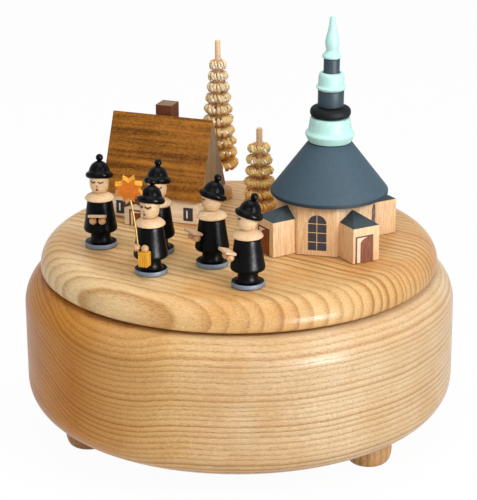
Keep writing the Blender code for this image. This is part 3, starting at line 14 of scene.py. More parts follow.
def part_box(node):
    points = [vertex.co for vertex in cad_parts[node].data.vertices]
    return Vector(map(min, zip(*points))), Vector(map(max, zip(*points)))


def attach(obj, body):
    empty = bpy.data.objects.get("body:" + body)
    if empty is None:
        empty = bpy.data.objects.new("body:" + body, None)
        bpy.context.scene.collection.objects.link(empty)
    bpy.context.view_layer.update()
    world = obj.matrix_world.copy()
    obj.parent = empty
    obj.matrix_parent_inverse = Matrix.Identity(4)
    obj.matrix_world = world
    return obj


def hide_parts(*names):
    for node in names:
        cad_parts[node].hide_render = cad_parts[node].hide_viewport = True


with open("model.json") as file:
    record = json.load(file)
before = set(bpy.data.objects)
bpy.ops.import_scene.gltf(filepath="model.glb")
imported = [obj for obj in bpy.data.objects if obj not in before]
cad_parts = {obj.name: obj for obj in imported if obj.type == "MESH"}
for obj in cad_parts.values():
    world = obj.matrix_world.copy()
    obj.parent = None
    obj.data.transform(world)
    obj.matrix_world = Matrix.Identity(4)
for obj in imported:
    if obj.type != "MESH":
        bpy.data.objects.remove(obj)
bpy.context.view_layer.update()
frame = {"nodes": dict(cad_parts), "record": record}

MM = 0.001
UP = Vector((0, 0, 1))
SIDE = Vector((1, 0, 0))

# How the pieces are turned, in degrees
HOUSE_TURN = -21.0
CHURCH_TURN = -104.5
TOWER_LEAN = 0.9
LID_GRAIN = -34.0
PORCHES = {"porch_front": 43.5, "porch_right": 135.0, "porch_back": 225.0, "porch_left": 316.2}

# Radii in millimetres, and how near points count as one
BOWL_RADIUS = 95.0
LID_RADIUS = 87.0
TOUCHING = 0.001 * MM


def direction(angle):
    return Vector((math.cos(math.radians(angle)), math.sin(math.radians(angle)), 0))


def spin(angle, axis="Z"):
    return Matrix.Rotation(math.radians(angle), 4, axis)


def shift(x, y=0.0, z=0.0):
    """A move in millimetres."""
    return Matrix.Translation((x * MM, y * MM, z * MM))


def placed(name, data):
    """A new object in the scene."""
    made = bpy.data.objects.new(name, data)
    bpy.context.scene.collection.objects.link(made)
    return made


def rgb(red, green, blue):
    """A colour given as screen values from 0 to 255, as linear numbers."""
    linear = []
    for value in (red, green, blue):
        share = value / 255
        linear.append(share / 12.92 if share <= 0.04045 else ((share + 0.055) / 1.055) ** 2.4)
    return (*linear, 1.0)


class Wiring:
    """Short calls for the nodes of one tree, be it a material's or a group's."""

    def __init__(self, tree):
        self.tree = tree

    def feed(self, socket, source):
        if hasattr(source, "is_output"):
            self.tree.links.new(source, socket)
        else:
            socket.default_value = source

    def node(self, kind, feeds=None, **settings):
        made = self.tree.nodes.new(kind)
        for key, value in settings.items():
            setattr(made, key, value)
        for socket, source in (feeds or {}).items():
            self.feed(made.inputs[socket], source)
        return made

    def math(self, operation, first, second=0.0):
        return self.node("ShaderNodeMath", {0: first, 1: second}, operation=operation).outputs[0]

    plus = partialmethod(math, "ADD")
    less = partialmethod(math, "SUBTRACT")
    times = partialmethod(math, "MULTIPLY")
    over = partialmethod(math, "DIVIDE")

    def vector(self, operation, first, second):
        return self.node("ShaderNodeVectorMath", {0: first, 1: second}, operation=operation).outputs[0]

    def scaled(self, vector, share):
        return self.node("ShaderNodeVectorMath", {0: vector, "Scale": share}, operation="SCALE").outputs[0]

    def length(self, vector):
        return self.node("ShaderNodeVectorMath", {0: vector}, operation="LENGTH").outputs["Value"]

    def join(self, x, y, z):
        return self.node("ShaderNodeCombineXYZ", {0: x, 1: y, 2: z}).outputs[0]

    def split(self, vector):
        return self.node("ShaderNodeSeparateXYZ", {0: vector}).outputs

    def noise(self, vector, scale=1.0, detail=2.0):
        feeds = {"Vector": vector, "Scale": scale, "Detail": detail}
        return self.node("ShaderNodeTexNoise", feeds).outputs["Fac"]

    def streaks(self, place, length, width, detail=2.0):
        """Noise drawn out along X, with that length and width in millimetres."""
        return self.noise(self.vector("DIVIDE", place, self.join(length, width, width)), 1.0, detail)

    def ramp(self, share, stops):
        """Colours or numbers along a share from 0 to 1."""
        made = self.node("ShaderNodeValToRGB", {0: share})
        bar = made.color_ramp.elements
        while len(bar) < len(stops):
            bar.new(0.5)
        for element, (position, value) in zip(bar, stops):
            element.position = position
            element.color = value if hasattr(value, "__len__") else (value, value, value, 1.0)
        return made.outputs[0]

    def mix(self, share, first, second, blend="MIX"):
        made = self.node("ShaderNodeMix", {0: share, 6: first, 7: second}, data_type="RGBA", blend_type=blend)
        return made.outputs[2]


def node_group(name, kind, inputs, outputs):
    """An empty group with its sockets listed by type, as its wiring, what it is given and what it gives."""
    tree = bpy.data.node_groups.new(name, kind)
    for way, listed in (("INPUT", inputs), ("OUTPUT", outputs)):
        for socket, labels in listed.items():
            for label in labels:
                tree.interface.new_socket(label, in_out=way, socket_type="NodeSocket" + socket)
    wiring = Wiring(tree)
    return wiring, wiring.node("NodeGroupInput").outputs, wiring.node("NodeGroupOutput").inputs


FINISH = {"Color": ["Color"], "Float": ["Roughness", "Height"]}
GEOMETRY = {"Geometry": ["Geometry"]}


def end_finish(wiring, gives, colour, roughness, height):
    """What each surface's group puts out."""
    for label, source in (("Color", colour), ("Roughness", roughness), ("Height", height)):
        wiring.feed(gives[label], source)
    return wiring.tree


def make_ash_rings():
    """Growth rings of ash, each a sharp dark edge that fades, with open pores and fine grit along them."""
    inputs = {"Vector": ["Place"], "Float": ["Depth", "Ring Width", "Bend", "Pore Strength", "Gloss"],
              "Color": ["Pale", "Warm", "Line"]}
    ash, given, gives = node_group("ash_rings", "ShaderNodeTree", inputs, FINISH)
    place = given["Place"]
    bend = ash.times(ash.less(ash.noise(place, 0.012, 1.0), 0.5), given["Bend"])
    ripple = ash.times(ash.less(ash.noise(place, 0.09), 0.5), given["Bend"])
    depth = ash.plus(given["Depth"], ash.plus(bend, ash.times(ripple, 0.16)))
    count = ash.over(depth, given["Ring Width"])
    uneven = ash.noise(ash.join(ash.times(count, 0.45), 0.37, 0.61), 1.0, 1.0)
    ring = ash.math("FRACT", ash.plus(count, ash.times(uneven, 1.6)))
    line = ash.ramp(ring, [(0.0, 0.95), (0.1, 0.8), (0.26, 0.36), (0.48, 0.08), (0.86, 0.0), (1.0, 0.95)])
    strong = ash.noise(ash.join(ash.times(count, 0.23), 3.41, 0.27), 1.0, 1.0)
    line = ash.times(line, ash.ramp(strong, [(0.36, 0.4), (0.62, 1.0)]))
    patches = ash.ramp(ash.noise(place, 0.035), [(0.36, 0.0), (0.66, 1.0)])
    colour = ash.mix(line, ash.mix(patches, given["Pale"], given["Warm"]), given["Line"])
    early = ash.ramp(ring, [(0.0, 1.0), (0.3, 0.55), (0.55, 0.1), (0.9, 0.15), (1.0, 1.0)])
    pores = ash.ramp(ash.streaks(place, 3.4, 0.42, 1.0), [(0.54, 0.0), (0.64, 1.0)])
    pores = ash.times(ash.times(pores, early), given["Pore Strength"])
    colour = ash.mix(pores, colour, ash.scaled(given["Line"], 0.68))
    fibres = ash.streaks(place, 20.0, 0.55, 3.0)
    colour = ash.mix(1.0, colour, ash.ramp(fibres, [(0.32, 0.84), (0.66, 1.0)]), "MULTIPLY")
    grit = ash.ramp(ash.streaks(place, 1.2, 0.5, 1.0), [(0.34, 0.86), (0.62, 1.0)])
    colour = ash.mix(1.0, colour, grit, "MULTIPLY")
    roughness = ash.plus(given["Gloss"], ash.times(pores, 0.25))
    return end_finish(ash, gives, colour, roughness, ash.less(ash.times(fibres, 0.3), pores))


def make_wood_grain():
    """Fine streaks along the grain, broad bands for stained wood, and short flecks for beech."""
    inputs = {"Vector": ["Place"], "Float": ["Length", "Width", "Bands", "Band Width", "Flecks", "Gloss"],
              "Color": ["Pale", "Dark"]}
    wood, given, gives = node_group("wood_grain", "ShaderNodeTree", inputs, FINISH)
    place = given["Place"]
    fine = wood.streaks(place, given["Length"], given["Width"], 3.0)
    bands = wood.streaks(place, 60.0, given["Band Width"])
    share = wood.node("ShaderNodeMix", {0: given["Bands"], 2: fine, 3: bands}, data_type="FLOAT").outputs[0]
    colour = wood.mix(wood.ramp(share, [(0.36, 0.0), (0.62, 1.0)]), given["Dark"], given["Pale"])
    patches = wood.ramp(wood.noise(place, 0.12), [(0.4, 0.0), (0.75, 0.35)])
    colour = wood.mix(patches, colour, given["Dark"])
    flecks = wood.ramp(wood.streaks(place, 2.4, 0.25, 1.0), [(0.6, 0.0), (0.7, 1.0)])
    flecks = wood.times(flecks, given["Flecks"])
    colour = wood.mix(flecks, colour, wood.scaled(given["Dark"], 0.6))
    roughness = wood.less(given["Gloss"], wood.times(fine, 0.1))
    return end_finish(wood, gives, colour, roughness, wood.less(fine, flecks))


def make_brushed_paint():
    """Paint with slight changes of tone, fine brush lines and an uneven gloss."""
    inputs = {"Vector": ["Place"], "Color": ["Colour"],
              "Float": ["Wear", "Cloud Size", "Line Width", "Gloss"]}
    paint, given, gives = node_group("brushed_paint", "ShaderNodeTree", inputs, FINISH)
    place = given["Place"]
    lines = paint.streaks(place, 6.0, given["Line Width"])
    cloud = paint.noise(paint.scaled(place, paint.over(1.0, given["Cloud Size"])), 1.0, 3.0)
    share = paint.ramp(paint.times(paint.plus(lines, cloud), 0.5), [(0.38, 0.0), (0.62, 1.0)])
    change = paint.times(paint.less(paint.times(share, 2.0), 1.0), given["Wear"])
    colour = paint.scaled(given["Colour"], paint.plus(change, 1.0))
    roughness = paint.plus(given["Gloss"], paint.times(paint.less(cloud, 0.5), given["Wear"]))
    return end_finish(paint, gives, colour, roughness, paint.plus(lines, cloud))


def make_turned_metal():
    """Machined metal with fine tool lines and faint stains."""
    inputs = {"Vector": ["Place"], "Color": ["Colour"], "Float": ["Line Width", "Gloss"]}
    metal, given, gives = node_group("turned_metal", "ShaderNodeTree", inputs, FINISH)
    lines = metal.streaks(given["Place"], 5.0, given["Line Width"])
    stains = metal.ramp(metal.noise(given["Place"], 0.25, 3.0), [(0.35, 0.78), (0.65, 1.0)])
    roughness = metal.plus(given["Gloss"], metal.times(lines, 0.12))
    return end_finish(metal, gives, metal.scaled(given["Colour"], stains), roughness, lines)


ASH_RINGS = make_ash_rings()
WOOD_GRAIN = make_wood_grain()
BRUSHED_PAINT = make_brushed_paint()
TURNED_METAL = make_turned_metal()


class Finish(Wiring):
    """A Principled material whose colour, gloss and relief come from one of the groups."""

    def __init__(self, name, specular=0.5, coat=0.0, metallic=0.0, bend=1.5):
        self.material = bpy.data.materials.new(name)
        self.material.use_nodes = True
        super().__init__(self.material.node_tree)
        self.shader = self.tree.nodes["Principled BSDF"]
        plain = {"Specular IOR Level": specular, "Coat Weight": coat, "Coat Roughness": 0.15,
                 "Metallic": metallic, "IOR": bend}
        for socket, value in plain.items():
            self.shader.inputs[socket].default_value = value

    def place(self, along=SIDE, across=UP, middle=(0, 0, 0)):
        """Millimetres on the model at rest, from a middle, with X along the grain and Z across it."""
        turn = Matrix((along, across.cross(along), across)).transposed().to_euler()
        source = self.node("ShaderNodeTexCoord").outputs["Object"]
        feeds = {"Vector": source, "Location": middle, "Rotation": turn, "Scale": (MM, MM, MM)}
        return self.node("ShaderNodeMapping", feeds, vector_type="TEXTURE").outputs[0]

    def wear(self, group, values, depth, tint=None):
        """Put a group in the material with its values. `depth` is the relief's full step in millimetres."""
        placed = self.node("ShaderNodeGroup", node_tree=group)
        for label, value in values.items():
            self.feed(placed.inputs[label], value)
        colour = placed.outputs["Color"]
        # The tint multiplies the colour and carries painted shade.
        if tint is not None:
            colour = self.mix(1.0, colour, tint, "MULTIPLY")
        bump = self.node("ShaderNodeBump", {"Distance": depth * MM, "Height": placed.outputs["Height"]})
        self.feed(self.shader.inputs["Base Color"], colour)
        self.feed(self.shader.inputs["Roughness"], placed.outputs["Roughness"])
        self.feed(self.shader.inputs["Normal"], bump.outputs[0])
        return self.material


def bowl_ash():
    """The bowl's rings lie level, dip at its left front and rise over its left shoulder."""
    ash = Finish("bowl_ash", bend=1.2)
    place = ash.place()
    x, y, z = ash.split(place)
    side = ash.over(ash.plus(x, BOWL_RADIUS), 2 * BOWL_RADIUS)
    lift = ash.node("ShaderNodeFloatCurve", {"Value": side})
    curve = lift.mapping.curves[0]
    rise = ((0.0, 0.91), (0.07, 0.455), (0.2, 0.045), (0.395, 0.227), (0.66, 0.273), (1.0, 0.273))
    while len(curve.points) < len(rise):
        curve.points.new(0.5, 0.5)
    for point, spot in zip(curve.points, rise):
        point.location = spot
    lift.mapping.update()
    swing, sunk = 22.0, 6.0
    depth = ash.less(z, ash.less(ash.times(lift.outputs[0], swing), sunk))
    # Painted shade: darker and more orange towards the bowl's left, with a milder even painted shade towards
    # its back.
    tint = ash.ramp(side, [(0.0, (0.74, 0.41, 0.09, 1)), (0.13, (0.76, 0.44, 0.12, 1)),
                           (0.34, (0.95, 0.83, 0.60, 1)), (0.52, (0.97, 0.98, 1, 1))])
    back_shade_share = ash.ramp(ash.over(y, BOWL_RADIUS), [(0.0, 0.0), (0.6, 0.8)])
    tint = ash.mix(back_shade_share, tint, (0.94, 0.84, 0.66, 1))
    values = {"Place": place, "Depth": depth, "Ring Width": 2.5, "Bend": 4.5, "Pale": rgb(234, 204, 162),
              "Warm": rgb(222, 184, 134), "Line": rgb(186, 134, 80), "Pore Strength": 0.5, "Gloss": 0.3}
    return ash.wear(ASH_RINGS, values, 0.07, tint)


def lid_ash():
    """The lid's rings stand almost upright, so that ovals show on its round front edge."""
    ash = Finish("lid_ash", bend=1.22)
    lean, stretch, closing, sunk = 0.22, 1.25, 0.0015, 10.4
    across = (direction(LID_GRAIN - 90) + lean * UP).normalized()
    place = ash.place(direction(LID_GRAIN), across)
    z = ash.split(place)[2]
    closer = ash.times(ash.times(z, z), closing)
    depth = ash.less(ash.less(ash.times(z, stretch), closer), sunk)
    # Painted shade: darker and browner towards the lid's right.
    side = ash.over(ash.plus(ash.split(ash.place())[0], LID_RADIUS), 2 * LID_RADIUS)
    tint = ash.ramp(side, [(0.1, (1, 1, 1, 1)), (0.45, (0.95, 0.91, 0.83, 1)), (0.8, (0.86, 0.76, 0.62, 1)),
                           (1.0, (0.82, 0.70, 0.54, 1))])
    values = {"Place": place, "Depth": depth, "Ring Width": 4.9, "Bend": 10.0, "Pale": rgb(242, 208, 156),
              "Warm": rgb(228, 178, 116), "Line": rgb(190, 136, 74), "Pore Strength": 0.55, "Gloss": 0.3}
    return ash.wear(ASH_RINGS, values, 0.08, tint)


def foot_ash():
    """End grain at the feet, darker than the bowl."""
    ash = Finish("foot_ash", bend=1.25)
    place = ash.place(UP, SIDE)
    values = {"Place": place, "Depth": ash.split(place)[2], "Ring Width": 2.6, "Bend": 3.0,
              "Pale": rgb(222, 176, 120), "Warm": rgb(204, 156, 102), "Line": rgb(160, 112, 64),
              "Pore Strength": 0.4, "Gloss": 0.42}
    return ash.wear(ASH_RINGS, values, 0.05)


def wood(name, pale, dark, along=SIDE, across=UP, length=9.0, width=0.5, bands=0.0, band_width=2.0,
         flecks=0.0, gloss=0.52, bend=1.28):
    grain = Finish(name, bend=bend)
    values = {"Place": grain.place(along, across), "Length": length, "Width": width, "Bands": bands,
              "Band Width": band_width, "Flecks": flecks, "Pale": rgb(*pale), "Dark": rgb(*dark),
              "Gloss": gloss}
    return grain.wear(WOOD_GRAIN, values, 0.03)


def painted(name, colour, gloss=0.5, wear=0.08, cloud=1.5, line=0.35, along=SIDE, specular=0.3, depth=0.02):
    paint = Finish(name, specular=specular)
    place = paint.place(along, SIDE if abs(along.z) > 0.9 else UP)
    values = {"Place": place, "Colour": rgb(*colour), "Wear": wear, "Cloud Size": cloud, "Line Width": line,
              "Gloss": gloss}
    return paint.wear(BRUSHED_PAINT, values, depth)


def metal(name, colour, gloss, line=0.3):
    turned = Finish(name, metallic=1.0)
    values = {"Place": turned.place(), "Colour": rgb(*colour), "Line Width": line, "Gloss": gloss}
    return turned.wear(TURNED_METAL, values, 0.01)


def shavings(name, spot, first, spacing, pale, low, deep):
    """Pale shaved wood, with painted shade: warmer low down, orange-brown near the stem and between tiers."""
    widest, fall = 9.0, 46.0
    curl = Finish(name, specular=0.3, coat=0.25, bend=1.15)
    curl.shader.inputs["Transmission Weight"].default_value = 0.2
    place = curl.place(middle=(spot.x, spot.y, 0))
    x, y, z = curl.split(place)
    reach = curl.over(curl.length(curl.join(x, y, 0.0)), widest)
    # Painted shade: orange-brown near the stem and between the tiers, and warmer towards the bottom.
    inner = curl.ramp(reach, [(0.18, 1.0), (0.42, 0.0)])
    tier = curl.math("FRACT", curl.over(curl.less(z, first - 0.5 * spacing), spacing))
    under = curl.ramp(tier, [(0.0, 1.0), (0.2, 0.5), (0.42, 0.0), (0.9, 0.0), (1.0, 0.8)])
    shade = curl.math("MAXIMUM", inner, under)
    shade_fall = curl.over(curl.less(first, z), fall)
    tint = curl.mix(shade, curl.ramp(shade_fall, [(0.0, (1, 1, 1, 1)), (1.0, rgb(*low))]), rgb(*deep))
    values = {"Place": place, "Length": 2.5, "Width": 0.6, "Bands": 0.3, "Band Width": 1.2, "Flecks": 0.0,
              "Pale": rgb(*pale), "Dark": rgb(*[channel * 0.93 for channel in pale]), "Gloss": 0.34}
    return curl.wear(WOOD_GRAIN, values, 0.02, tint)


ALONG_HOUSE = direction(HOUSE_TURN)
BOWL_ASH = bowl_ash()
LID_ASH = lid_ash()
FOOT_ASH = foot_ash()
PALE = wood("pale_maple", (238, 208, 166), (218, 180, 136), width=0.4, gloss=0.45)
HANDS = wood("hand_wood", (220, 178, 130), (196, 148, 102), width=0.3, gloss=0.42)
BOOK_PAPER = wood("songbook_wood", (222, 188, 156), (202, 166, 132), width=0.3, gloss=0.5)
BEECH = wood("beech_walls", (246, 210, 164), (226, 182, 134), UP, SIDE, gloss=0.58, flecks=0.5, length=8.0)
HOUSE_PALE = wood("house_walls_wood", (255, 240, 212), (240, 214, 180), ALONG_HOUSE, gloss=0.58, flecks=0.15)
ROOF = wood("roof_stain", (176, 114, 40), (96, 54, 12), ALONG_HOUSE, length=1.5, width=0.6, bands=0.58,
            band_width=2.1, gloss=0.6, bend=1.2)
STAIN = {"bands": 0.6, "gloss": 0.6}
GABLE = wood("gable_stain", (158, 130, 94), (118, 92, 60), UP, ALONG_HOUSE, band_width=1.6, **STAIN)
CHIMNEY = wood("chimney_stain", (114, 58, 24), (72, 32, 10), ALONG_HOUSE, band_width=1.4, **STAIN)
CHIMNEY_TOP = wood("chimney_end_grain", (148, 122, 94), (108, 84, 60), band_width=0.8, **STAIN)
TREE_BASE = wood("tree_base_wood", (240, 190, 124), (214, 158, 96), width=0.4, gloss=0.5)
SLATE = painted("slate_paint", (68, 86, 98), 0.6, 0.07, 2.2, along=UP, specular=0.12)
PORCH_SLATE = painted("porch_slate_paint", (62, 71, 76), 0.6, 0.08, 1.6, specular=0.12)
# Painted shade on the cone roof's narrow lower rim, darker than its slate.
ROOF_EDGE_SHADE = painted("roof_edge_paint", (46, 58, 66), 0.6, 0.07, 2.2, specular=0.12)
DRUM_SLATE = painted("drum_slate_paint", (58, 73, 82), 0.5, 0.06, 1.8, specular=0.15)
MINT = painted("mint_paint", (186, 230, 222), 0.48, 0.05, 2.0, 0.3, specular=0.2)
BLACK = painted("black_paint", (6, 7, 8), 0.34, 0.3, 1.1, 0.4, UP, specular=0.07, depth=0.04)
HAT_BLACK = painted("hat_paint", (5, 5, 6), 0.25, 0.12, 2.5, specular=0.08, depth=0.004)
GALLERY = painted("gallery_paint", (22, 25, 27), 0.6, 0.12, specular=0.1)
RIM_GREY = painted("plinth_rim_paint", (128, 144, 164), 0.45, 0.1, 1.0)
STAR_FRONT = painted("star_front_paint", (200, 106, 4), 0.5, 0.16, 2.4, specular=0.2)
STAR_EDGE = painted("star_edge_paint", (230, 160, 38), 0.5, 0.08, 1.0)
AMBER = painted("lantern_paint", (224, 160, 20), 0.48, 0.12, 1.2, 0.5, UP)
POLE = metal("pole_brass", (150, 124, 72), 0.42)
GLASS_PRINT = painted("window_print", (56, 57, 62), 0.5, 0.12, 0.9)
WINDOW_LIGHT = painted("window_slot_print", (246, 240, 230), 0.55, 0.03)
DOOR = wood("door_print", (148, 80, 34), (112, 54, 20), UP, SIDE, 5.0, 0.5)
DOOR_LINE = painted("door_outline_print", (92, 48, 24), 0.5, 0.15)
DOOR_REVEAL = painted("door_reveal_print", (250, 212, 178), 0.5, 0.04)
LASHES = painted("eye_paint", (98, 46, 26), 0.5, 0.1)
NOSE_DOT = painted("nose_paint", (84, 44, 32), 0.5, 0.1)
LIPS = painted("mouth_paint", (178, 36, 38), 0.45, 0.1)
MOUTH_DARK = painted("mouth_middle_paint", (70, 16, 18), 0.5, 0.1)
BRASS = metal("brass", (214, 176, 104), 0.28)
STEEL = metal("steel", (176, 178, 182), 0.24)
ZINC = metal("zinc", (160, 160, 164), 0.42, 0.8)


def end_tree(wiring, geometry, given, gives):
    """Each geometry tree ends in Realize Instances and Set Material."""
    geometry = wiring.node("GeometryNodeRealizeInstances", {"Geometry": geometry}).outputs[0]
    feeds = {"Geometry": geometry, "Material": given["Material"]}
    wiring.feed(gives["Geometry"], wiring.node("GeometryNodeSetMaterial", feeds).outputs[0])
    return wiring.tree


def make_turning():
    """A geometry tree that spins a profile's points about the Z axis into a closed skin."""
    inputs = {**GEOMETRY, "Int": ["Steps"], "Material": ["Material"]}
    turning, given, gives = node_group("turned_profile", "GeometryNodeTree", inputs, GEOMETRY)
    profile = given["Geometry"]
    size = turning.node("GeometryNodeAttributeDomainSize", {0: profile}, component="MESH")
    points = size.outputs["Point Count"]
    index = turning.node("GeometryNodeInputIndex").outputs[0]
    turn = turning.math("FLOOR", turning.over(turning.plus(index, 0.5), points))
    angle = turning.over(turning.times(turn, 2 * math.pi), given["Steps"])
    here = turning.node("GeometryNodeInputPosition").outputs[0]
    feeds = {"Geometry": profile, "Value": here, "Index": turning.math("MODULO", index, points)}
    spot = turning.node("GeometryNodeSampleIndex", feeds, data_type="FLOAT_VECTOR", domain="POINT").outputs[0]
    feeds = {"Vector": spot, "Angle": angle}
    spot = turning.node("ShaderNodeVectorRotate", feeds, rotation_type="Z_AXIS").outputs[0]
    feeds = {"Vertices X": turning.plus(given["Steps"], 1.0), "Vertices Y": points}
    skin = turning.node("GeometryNodeMeshGrid", feeds).outputs["Mesh"]
    skin = turning.node("GeometryNodeSetPosition", {"Geometry": skin, "Position": spot}).outputs[0]
    skin = turning.node("GeometryNodeMergeByDistance", {"Geometry": skin, "Distance": TOUCHING}).outputs[0]
    return end_tree(turning, skin, given, gives)


def make_whorls():
    """A geometry tree that sets one curl round a stem in tiers, each turned and sized a little by chance."""
    inputs = {**GEOMETRY, "Int": ["Whorls", "Curls", "Seed"], "Material": ["Material"],
              "Float": ["First", "Spacing", "Narrow", "Wide", "Breadth", "Slant", "Unevenness"]}
    whorls, given, gives = node_group("whorls_of_curls", "GeometryNodeTree", inputs, GEOMETRY)
    index = whorls.node("GeometryNodeInputIndex").outputs[0]
    tier = whorls.math("FLOOR", whorls.over(whorls.plus(index, 0.5), given["Curls"]))

    def chance(reach, salt, each=index):
        """A random number of up to `reach` either way, scaled by the unevenness."""
        made = whorls.node("FunctionNodeRandomValue", {2: -reach, 3: reach, "ID": each}, data_type="FLOAT")
        whorls.feed(made.inputs["Seed"], whorls.plus(given["Seed"], float(salt)))
        return whorls.times(made.outputs[1], given["Unevenness"])

    share = whorls.over(tier, whorls.less(given["Whorls"], 1.0))
    spread = whorls.times(share, whorls.less(given["Wide"], given["Narrow"]))
    outer = whorls.times(whorls.plus(given["Narrow"], spread), whorls.plus(chance(0.08, 1), 1.0))
    step = whorls.over(2 * math.pi, given["Curls"])
    angle = whorls.times(whorls.plus(index, chance(0.14, 2)), step)
    angle = whorls.plus(angle, chance(math.pi, 3, tier))
    height = whorls.plus(whorls.times(tier, -1.0), chance(0.09, 4))
    height = whorls.plus(given["First"], whorls.times(height, given["Spacing"]))
    roll = whorls.plus(given["Slant"], chance(0.2, 5))
    turn = whorls.node("FunctionNodeEulerToRotation", {0: whorls.join(roll, 0.0, angle)}).outputs[0]
    breadth = whorls.times(whorls.times(outer, step), given["Breadth"])
    count = whorls.times(given["Whorls"], given["Curls"])
    feeds = {"Count": count, "Position": whorls.join(0.0, 0.0, height)}
    spots = whorls.node("GeometryNodePoints", feeds).outputs[0]
    feeds = {"Points": spots, "Instance": given["Geometry"], "Rotation": turn,
             "Scale": whorls.join(outer, breadth, given["Spacing"])}
    curls = whorls.node("GeometryNodeInstanceOnPoints", feeds).outputs[0]
    return end_tree(whorls, curls, given, gives)


TURNING = make_turning()
WHORLS = make_whorls()


def grown(mesh, tree, values):
    """Run a geometry tree on a mesh, and give its result as a plain mesh."""
    blank = placed("blank", mesh)
    modifier = blank.modifiers.new("tree", "NODES")
    modifier.node_group = tree
    for item in tree.interface.items_tree:
        if item.item_type == "SOCKET" and item.in_out == "INPUT" and item.name in values:
            modifier[item.identifier] = values[item.name]
    made = bpy.data.meshes.new_from_object(blank.evaluated_get(bpy.context.evaluated_depsgraph_get()))
    blank.modifiers.remove(modifier)
    bpy.data.objects.remove(blank)
    bpy.data.meshes.remove(mesh)
    return made


def centre(node):
    low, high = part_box(node)
    return (low + high) / 2


def standing(place, z, angle=0.0):
    """A frame with +Z up at a place, turned about it."""
    return Matrix.Translation((place.x, place.y, z)) @ spin(angle)


def arc(centre_r, centre_z, radius, start, end, count=8):
    points = []
    for index in range(count + 1):
        angle = math.radians(start + (end - start) * index / count)
        points.append((centre_r + radius * math.cos(angle), centre_z + radius * math.sin(angle)))
    return points


def rounded(profile, radius, count=3):
    """Round each inner corner of a profile, by no more than its shorter side allows."""
    points = [Vector(point) for point in profile]
    result = [tuple(points[0])]
    for before, corner, after in zip(points, points[1:], points[2:]):
        into = corner - before
        out = after - corner
        reach = min(radius, 0.45 * into.length, 0.45 * out.length)
        if reach < 0.01:
            result.append(tuple(corner))
            continue
        start = corner - into.normalized() * reach
        end = corner + out.normalized() * reach
        for index in range(count + 1):
            share = index / count
            curve = start * (1 - share) ** 2 + corner * 2 * share * (1 - share) + end * share ** 2
            result.append(tuple(curve))
    result.append(tuple(points[-1]))
    return result


def as_mesh(name, model):
    mesh = bpy.data.meshes.new(name)
    model.to_mesh(mesh)
    model.free()
    return mesh


def show(name, model, materials, place=None, body="turntable", instead_of=(), slot=None, sharp=38.0):
    """Make a bmesh into a piece that rides on a body and may stand for CAD nodes."""
    if place is not None:
        bmesh.ops.transform(model, matrix=place, verts=model.verts)
    bmesh.ops.recalc_face_normals(model, faces=model.faces)
    mesh = as_mesh(name, model)
    for material in materials:
        mesh.materials.append(material)
    mesh.shade_smooth()
    mesh.set_sharp_from_angle(angle=math.radians(sharp))
    piece = placed(name, mesh)
    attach(piece, body)
    if instead_of:
        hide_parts(*instead_of)
    return piece


def add_mesh(model, made, place=None, index=0):
    """Add a plain mesh to a bmesh, with one material number for its faces."""
    if place is not None:
        made.transform(place)
    known = len(model.faces)
    model.from_mesh(made)
    bpy.data.meshes.remove(made)
    model.faces.ensure_lookup_table()
    for number in range(known, len(model.faces)):
        model.faces[number].material_index = index


def turned(model, profile, material, index=0, steps=48, place=None):
    """Spin a profile of (radius, height) points in millimetres, and add it to the model."""
    line = bpy.data.meshes.new("profile")
    links = [(number, number + 1) for number in range(len(profile) - 1)]
    line.from_pydata([(radius * MM, 0, height * MM) for radius, height in profile], links, [])
    add_mesh(model, grown(line, TURNING, {"Steps": steps, "Material": material}), place, index)
    return model


def turned_piece(name, profile, material, steps=48, place=None, **ways):
    return show(name, turned(bmesh.new(), profile, material, 0, steps, place), [material], **ways)


def soften(model, edges, width):
    """Round edges off by a width in millimetres."""
    bmesh.ops.bevel(model, geom=edges, offset=width * MM, segments=2, profile=0.6, affect="EDGES",
                    clamp_overlap=True)


def bridge(model, rows, closed=True, material=0):
    """Faces between each row of points and the next."""
    for first, second in zip(rows, rows[1:]):
        for index in range(len(first) if closed else len(first) - 1):
            following = (index + 1) % len(first)
            face = model.faces.new((first[index], first[following], second[following], second[index]))
            face.material_index = material


def mark_ends(model, way):
    """Give the second material to the faces that look along a direction."""
    for face in model.faces:
        face.normal_update()
        if abs(face.normal.dot(way)) > 0.9:
            face.material_index = 1


def solid(model, outline, thickness, place=None, material=0, bevel=0.0, side_material=None):
    """Extrude a flat outline in millimetres from its XY plane up to `thickness`, and add it."""
    before = set(model.verts)
    low = [model.verts.new((x * MM, y * MM, 0)) for x, y in outline]
    high = [model.verts.new((x * MM, y * MM, thickness * MM)) for x, y in outline]
    faces = [model.faces.new(list(reversed(low))), model.faces.new(high)]
    for index in range(len(outline)):
        following = (index + 1) % len(outline)
        side = model.faces.new((low[index], low[following], high[following], high[index]))
        side.material_index = material if side_material is None else side_material
        faces.append(side)
    for face in faces[:2]:
        face.material_index = material
    if bevel:
        edges = list({edge for face in faces for edge in face.edges})
        soften(model, edges, bevel)
    if place is not None:
        added = [vertex for vertex in model.verts if vertex not in before]
        bmesh.ops.transform(model, matrix=place, verts=added)
    return model


def rectangle(x0, y0, x1, y1):
    return [(x0, y0), (x1, y0), (x1, y1), (x0, y1)]


# Local X runs to the right along a wall, Y runs up and Z faces out, along X or along Y of the place.
UPRIGHT = Matrix(((0, 0, 1, 0), (1, 0, 0, 0), (0, 1, 0, 0), (0, 0, 0, 1)))
UPRIGHT_BACK = Matrix(((1, 0, 0, 0), (0, 0, 1, 0), (0, 1, 0, 0), (0, 0, 0, 1)))


def on_wall(place, angle, reach):
    """A frame on a wall that faces `angle`, `reach` millimetres from the place's axis."""
    return place @ spin(angle) @ shift(reach) @ UPRIGHT


